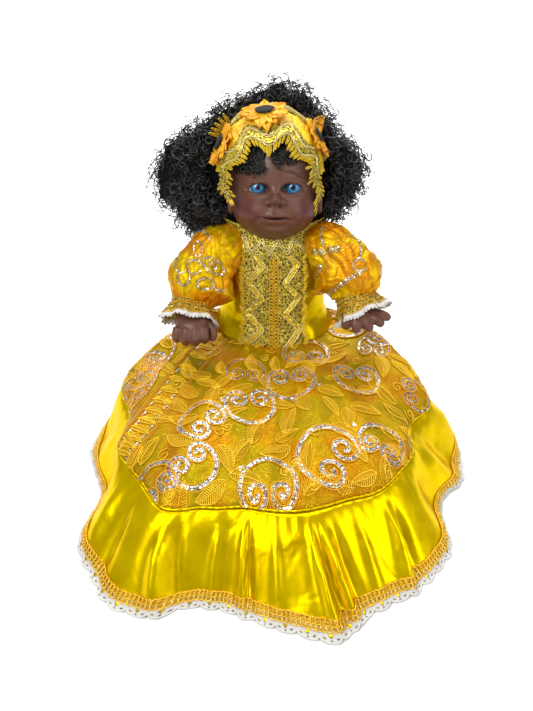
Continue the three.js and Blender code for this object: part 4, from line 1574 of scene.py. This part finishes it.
orange = Look("orange_fabric", Roughness=0.6)
spot = orange.place()
tint = orange.noise(spot, 0.07, 3.0, 0.6)
orange.set(Base_Color=orange.ramp(
    tint, (0.3, (0.82, 0.52, 0.004)), (0.5, (0.8, 0.36, 0.004)), (0.68, (0.7, 0.2, 0.002)),
))
orange.relief(orange.noise(spot, 0.22, 3.0) * 3.0 + weave(orange, 0.6, 0.08), 0.8)
band_yellow = Look("band_yellow", Roughness=0.42, Metallic=0.25)
spot = band_yellow.place()
band_yellow.set(Base_Color=band_yellow.ramp(
    band_yellow.noise(spot, 0.06, 3.0, 0.6), (0.4, (0.84, 0.6, 0.0)), (0.62, (0.8, 0.36, 0.002)),
))
band_yellow.relief(band_yellow.noise(spot, 0.12, 3.0) * 3.0 + weave(band_yellow, 0.6, 0.08), 0.8)
piece("band_cloth", grid(120, 30, band_place), band_yellow, ["headband"], 2.2)

# %% Front lace with its two zig-zag cords
# sweep and distance from the middle of the head, at each bend of a cord
upper_cord = [
    (-66, -33), (-62, -41), (-56, -45), (-47, -46), (-38, -43), (-30, -40), (-24, -43), (-16, -48),
    (-9, -50.5), (-1, -51), (8, -49), (15, -44), (21, -39), (25, -38.5), (34, -42), (44, -44.5),
    (52, -44), (57, -40), (62, -34),
]
lower_cord = [
    (-80, -36), (-74, -42), (-67, -48), (-60, -49.5), (-48, -49), (-38, -46.5), (-31, -47), (-24, -50),
    (-16, -53), (-5, -55), (7, -54), (16, -50), (22, -47), (30, -46.5), (39, -49), (52, -50), (60, -49),
    (65, -43), (71, -37), (78, -38),
]


def band_line(spots, out, shift):
    """A cord through the given bends, moved shift millimetres back."""
    flat = through([(sweep, y, 0) for sweep, y in spots], 9)
    return [on_band(p.x, p.y + shift, out) for p in flat]


def height_on(spots, sweep):
    """Where a cord crosses a line of equal sweep."""
    for (s0, y0), (s1, y1) in zip(spots, spots[1:]):
        if sweep <= s1:
            return lerp(y0, y1, max(0.0, (sweep - s0) / (s1 - s0)))
    return spots[-1][1]


def front_lace_place(u, v):
    sweep = lerp(-80, 78, u)
    low = height_on(lower_cord, sweep) - 0.5
    high = min(height_on(upper_cord, sweep) + 6, -26) + 1.2 * abs(sin(radians(sweep * 24)))
    return on_band(sweep, lerp(low, high, v), 4.6 + 0.5 * noise.noise(Vector((sweep / 5, v * 4, 0))))


def tail_place(start, end, spots):
    """A hanging tail of lace: spots gives the y of both edges at evenly spaced sweeps."""

    def place(u, v):
        k = min(len(spots) - 2, int(u * (len(spots) - 1)))
        t = u * (len(spots) - 1) - k
        low, high = (lerp(a, b, t) for a, b in zip(spots[k], spots[k + 1]))
        return on_band(lerp(start, end, u), lerp(low, high, v), 5 + 1.2 * sin(4 * pi * u))

    return place


right_spots = [(-43, -31), (-43, -33), (-42, -31), (-42, -31), (-42, -34), (-42, -38)]
left_spots = [(-45, -32), (-43, -32), (-41, -29), (-34, -24), (-27, -18), (-18, -14)]
tails = {"right": tail_place(-78, -114, right_spots), "left": tail_place(76, 120, left_spots)}
front_lace = grid(170, 16, front_lace_place)
piece("band_lace_front", front_lace, gold_lace, ["headband_lace"], thin_cloth)
for side, place in tails.items():
    piece("band_lace_tail_" + side, grid(50, 12, place), gold_lace, (), thin_cloth)
zigzags = [band_line(spots, 6.2, shift) for spots in (upper_cord, lower_cord) for shift in (0.0, 1.1)]
cords("band_zigzag", zigzags, 0.48, pale_cord, sides=3)


# %% Fringe of the lace
random.seed(7)
loops = []


def fringe_way(t):
    sweep = lerp(-80, 78, t)
    foot = on_band(sweep, -47, 5)
    return (on_band(sweep * 0.97, -55, 4) - foot).normalized()


fringe_foot = [on_band(s, height_on(lower_cord, s) - 0.4, 5) for s in range(-79, 78)]
picots_along(loops, fringe_foot, fringe_way, 10, 4.6, 2.8)
for sweep in (-9, -5, -1):
    foot = on_band(sweep, -55, 5)
    loops.append(picot(foot, (on_band(-5, -58.5, 3) - foot).normalized(), Vector((1, 0, 0)), 10, 2.6))
for place in tails.values():
    for edge, inside, length in ((0, 0.6, 8), (1, 0.4, 6)):
        line = [place(k / 60, edge) for k in range(61)]
        picots_along(loops, line, out_of(place, edge, inside, 0.1), length, 4.8, 2.8)
    end_line = [place(1, k / 8) for k in range(9)]
    picots_along(loops, end_line, always((place(1, 0.5) - place(0.8, 0.5)).normalized()), 8, 3.2, 3.0)


# %% Back lace
def back_lace_place(u, v):
    sweep = lerp(-78, 78, u)
    return on_band(sweep, lerp(-6, 5, v), 4.2 + 3.5 * v + 0.8 * sin(radians(sweep * 9)) * v)


back_lace = grid(150, 10, back_lace_place)
piece("band_lace_back", back_lace, gold_lace, ["headband_back_lace"], thin_cloth)
back_edge = [back_lace_place(k / 200, 1) for k in range(201)]
picots_along(loops, back_edge, out_of(back_lace_place, 1, 0.3), 7, 3.8, 3)
# a loose tuft of loops at the end of the lace
for k in range(5):
    foot = back_lace_place(0.14 + 0.02 * k, 0.6)
    way = (Vector((-0.95, -0.3, 0.35)) + Vector((0.14 * k, 0, 0.1 * k))).normalized()
    loops.append(picot(foot, way, Vector((0.6, 0, 0.8)), 17, 3.6))
    loops.append(picot(foot, way, Vector((0.6, 0, 0.8)), 13, 1.8))
cords("band_picots", loops, 0.5, gold_cord, sides=4)
back_lines = []
for v in (0.35, 0.85):
    back_lines.append([back_lace_place(k / 120, v) + Vector((0, 0, 0.9)) for k in range(121)])
cords("band_back_cord", back_lines, 0.55, pale_cord)

# %% Sequins of the band
scatter("front_sequins", front_plates, gold_sequin, 1.1)
random.seed(13)
band_sequins = []
for _ in range(240):
    sweep = random.uniform(-66, 64)
    low, high = height_on(lower_cord, sweep), height_on(upper_cord, sweep)
    y = random.uniform(low + 1, high - 1)
    here = on_band(sweep, y, 5.6)
    band_sequins.append((here, (on_band(sweep, y, 6.6) - here).normalized()))
scatter("band_sequins", band_sequins, gold_sequin, 1.5)

# %% [markdown]
# ## Sunflowers
#
# Each flower is a ring of pointed petals cut from orange cloth, gathered in the middle and pressed
# on the band, with an oval of black felt glued on.

# %% Petals
felt = Look("black_felt", Roughness=0.95, Base_Color=(0.006, 0.006, 0.006))
felt.relief(felt.noise(felt.place(), 1.6, 3.0), 0.6)
# sweep, distance back, radius of the flower and of its disc
flower_sizes = {
    "centre": (-6, -26, 29, 10.5), "right": (-61, -16, 26, 9.5), "left": (55, -12, 25, 9),
}


def flower_frame(sweep, y):
    """Directions across, along and out of the band at a flower's middle."""
    here = on_band(sweep, y, 0)
    out = (on_band(sweep, y, 1) - here).normalized()
    across = (on_band(sweep + 1, y, 0) - here).normalized()
    return here, across, out.cross(across), out


def flower_point(name, turn, reach, out):
    """A point reach millimetres from the flower's middle, half draped over the band."""
    sweep, y, _, _ = flower_sizes[name]
    here, across, along, up = flower_frame(sweep, y)
    flat = here + across * reach * cos(turn) + along * reach * sin(turn)
    more = degrees(reach * cos(turn) / 64)
    draped = on_band(sweep + more, max(-57, min(24, y + reach * sin(turn))), 0)
    return flat.lerp(draped, 0.55) + up * out


petal_count = 12
random.seed(21)
for name, (sweep, y, radius, disc) in flower_sizes.items():
    bm = bmesh.new()
    for number in range(petal_count):
        turn = 2 * pi * number / petal_count + random.uniform(-0.12, 0.12)
        reach = radius * random.uniform(0.86, 1.05)
        wide = random.uniform(7, 9)
        lift = random.uniform(0.0, 2.4) + 1.2 * (number % 2)
        # one petal of the left flower stands up
        if name == "left" and number == 4:
            reach, lift = reach * 1.25, 17
        bend = random.uniform(-4, 4)
        made = bmesh.ops.create_grid(bm, x_segments=8, y_segments=14, size=0.5)["verts"]
        for vertex in made:
            across, along = 2 * vertex.co.x, vertex.co.y + 0.5
            half = wide * (0.45 + 0.6 * sin(pi * along**0.9)) * (1 - along**7)
            away = lerp(6, reach, along)
            off = across * half + bend * along**2
            fold = 2.0 * (abs(across) - 0.5) + 1.5 * sin(6 * across + 3 * along + number) * along
            rise = 6.4 + lift * along**2 + fold
            vertex.co = flower_point(name, turn + off / max(8, away), away, rise)
    piece("petals_" + name, bm, orange, ["sunflower_" + name], 0.6, 0.0)
    bm = bmesh.new()
    bmesh.ops.create_uvsphere(bm, u_segments=32, v_segments=16, radius=1)
    here, across, along, up = flower_frame(sweep, y)
    for vertex in bm.verts:
        x, z, out = vertex.co
        ragged = 1 + 0.06 * sin(5 * atan2(z, x) + 1)
        vertex.co = here + disc * ragged * (x * across + 0.82 * z * along) + up * (9.6 + 1.4 * out)
    piece("felt_disc_" + name, bm, felt, ["sunflower_" + name + "_disc"])

# %% [markdown]
# ## Hair
#
# The wig is a cap of tight synthetic curls. A dark, lumpy mass gives the depth between them: it is the
# hair under the curls, coloured darker and duller than them as painted shade. On it stand many single
# ringlets, each a thin tube wound in a helix, with finer open ones at the rim.

# %% The mass of the hair
hair = Look("hair", Roughness=0.32, Base_Color=(0.007, 0.006, 0.0058), Specular_IOR_Level=0.6)
# the hair under the curls, darker and duller than them: painted shade between the curls
hair_shadow = Look("hair_shadow", Roughness=0.8, Base_Color=(0.003, 0.0026, 0.0025), Specular_IOR_Level=0.2)
spot = hair_shadow.place()
hair_shadow.relief(hair_shadow.noise(spot, 0.5, 4.0, 0.6, 2.0), 2.5)

curls_depth = 5.0
bm = remeshed("hair_mass_source", frame["nodes"]["wig"].data.copy(), 3.5, 6)
for vertex in bm.verts:
    lumps = 3.2 * noise.noise(vertex.co / 13) + 1.6 * noise.noise(vertex.co / 5)
    vertex.co += vertex.normal * (lumps - curls_depth)
bm.normal_update()
roots = [(face.calc_center_median(), face.normal.copy(), face.calc_area()) for face in bm.faces]
piece("hair_mass", bm, hair_shadow, ["wig"])


# %% Ringlets
def ringlet(root, way, length, radius, turns, droop, points):
    """A helix that starts at a root, opens and hangs down a little."""
    side = Quaternion(way, random.uniform(0, 2 * pi)) @ way.orthogonal().normalized()
    other = way.cross(side)
    line = []
    for step in range(points):
        t = step / (points - 1)
        turn = 2 * pi * turns * t
        size = radius * (0.35 + 0.65 * ease(0, 0.35, t))
        middle = root + way * length * t - Vector((0, 0, droop * t * t))
        line.append(middle + size * (cos(turn) * side + sin(turn) * other))
    return line


def to_head(point):
    """The inverse of from_head."""
    tilt = radians(-head_tilt)
    rest = point - head_middle
    return Vector((rest.x, rest.y * cos(tilt) + rest.z * sin(tilt), rest.z * cos(tilt) - rest.y * sin(tilt)))


def hair_grows(root, normal):
    """Not inside the wig, under the band or on the forehead."""
    at = to_head(root)
    if (root - from_head(band_middle, 12, 0)).dot(normal) < 0:
        return False
    under_band = hypot((at.x - band_middle) / 66, at.z / 77) < 1.0 and at.y < 16 and at.z > -25
    beside_face = at.y < -4 and abs(at.x) < 62
    return not under_band and not beside_face


ringlet_count = 1450
loose_count = 280
most_in_a_piece = 1200
random.seed(11)
grown = [root for root in roots if hair_grows(root[0], root[1])]
print("places where hair grows:", len(grown))
lines = []
for root, normal, _ in random.choices(grown, weights=[area for _, _, area in grown], k=ringlet_count):
    lean = Vector((random.gauss(0, 1), random.gauss(0, 1), random.gauss(0, 1) - 0.5))
    way = (normal * random.uniform(0.15, 0.7) + lean.cross(normal).normalized()).normalized()
    if way.dot(normal) < 0:
        way.negate()
    lines.append(ringlet(
        root + normal * 0.5, way, random.uniform(14, 24), random.uniform(3.0, 5.0),
        random.uniform(1.5, 2.4), random.uniform(0, 5), 21,
    ))
loose = []
rim = [root for root in grown if root[1].y < 0.75]
for root, normal, _ in random.choices(rim, weights=[area for _, _, area in rim], k=loose_count):
    lean = Vector((random.gauss(0, 1), random.gauss(0, 0.5), random.gauss(0, 1)))
    way = (normal + 0.6 * lean).normalized()
    loose.append(ringlet(
        root, way, random.uniform(12, 22), random.uniform(3.6, 6.2), random.uniform(1.6, 2.6),
        random.uniform(0, 8), 26,
    ))
cords("hair_loose_ringlets", loose, 0.55, hair, sides=3)
for start in range(0, len(lines), most_in_a_piece):
    name = "hair_ringlets_%d" % (start // most_in_a_piece + 1)
    cords(name, lines[start:start + most_in_a_piece], 0.5, hair, sides=3)

# %% The locks on the forehead
def hairline(x):
    """The locks' lower edge: a low one to the doll's right, a parting, a higher one to the left."""
    right = (1 - ease(-15, -7, x)) * (20 + 1.5 * sin(x / 3))
    left = ease(-7, -3, x) * (1 - ease(16, 28, x)) * (11 + 1.5 * sin(x / 2.5))
    return 28 - right - left


def lock_ground(u, v):
    """Dark hair that lies on the forehead under the locks, coloured darker than them as painted shade."""
    x = lerp(-47, 40, u)
    ragged = 1.6 * noise.noise(Vector((x / 2.5, 0, 4)))
    z = lerp(hairline(x) + 2 + ragged, 40, v)
    z = min(z, 59 * sqrt(max(0.05, 1 - (x / 50) ** 2)))
    return from_head(*on_face(x, z, 0.9 + 1.2 * noise.noise(Vector((x / 4, z / 9, 1)))))


piece("forehead_hair", grid(90, 16, lock_ground), hair_shadow, (), 0.6)
random.seed(3)
strands = []
strands_from = 38
for _ in range(130):
    x = random.choice((random.uniform(-46, -12), random.uniform(-46, -12), random.uniform(-5, 24)))
    drop = hairline(x) - random.uniform(-6, 4)
    sway, phase = random.uniform(1.2, 3.0), random.uniform(0, 6)
    line = []
    for step in range(18):
        t = step / 17
        z = lerp(strands_from, drop, t)
        across = x + sway * sin(phase + 5.5 * t) + 2.5 * t * sin(phase)
        across = max(-46, min(44, across))
        lift = 1.4 + 1.6 * abs(sin(phase + 4 * t)) + 0.8 * random.random()
        line.append(from_head(*on_face(across, min(z, 50), lift)))
    strands.append(line)
cords("forehead_locks", strands, 0.42, hair, sides=3)
curls = []
for _ in range(120):
    x = random.choice((random.uniform(-44, -13), random.uniform(-44, -13), random.uniform(-2, 20)))
    z = hairline(x) + random.uniform(0, 13)
    root = from_head(*on_face(x, z, 2.2))
    way = (from_head(*on_face(x + random.uniform(-6, 6), z - 5, 2.8)) - root).normalized()
    curls.append(ringlet(
        root, way, random.uniform(6, 10), random.uniform(1.9, 2.9), random.uniform(1.2, 2.0), 0, 18,
    ))
cords("forehead_curls", curls, 0.45, hair, sides=3)

# %% [markdown]
# ## Cut sizes of the cloth
#
# Every piece of cloth was flat before it was sewn. The tiers are strips as long as their seam and hem,
# the sleeves are oblongs gathered at both ends, and the laces are ribbons.

# %% The objects of the scene
made = bpy.data.objects

# %% [markdown]
# ## Floor
#
# The doll sits on a plain pale floor that ends beyond what any camera sees. It is only a stage.

# %% Floor
floor_half = 3000
bm = bmesh.new()
bmesh.ops.create_grid(bm, x_segments=1, y_segments=1, size=floor_half)
floor = bpy.data.objects.new("floor", bpy.data.meshes.new("floor"))
bmesh.ops.scale(bm, vec=(MM, MM, MM), verts=bm.verts)
bm.to_mesh(floor.data)
bm.free()
pale = Look("pale_floor", Base_Color=(0.86, 0.86, 0.86), Roughness=0.7)
floor.data.materials.append(pale.material)
bpy.context.scene.collection.objects.link(floor)
print("floor", 2 * floor_half, "mm wide")
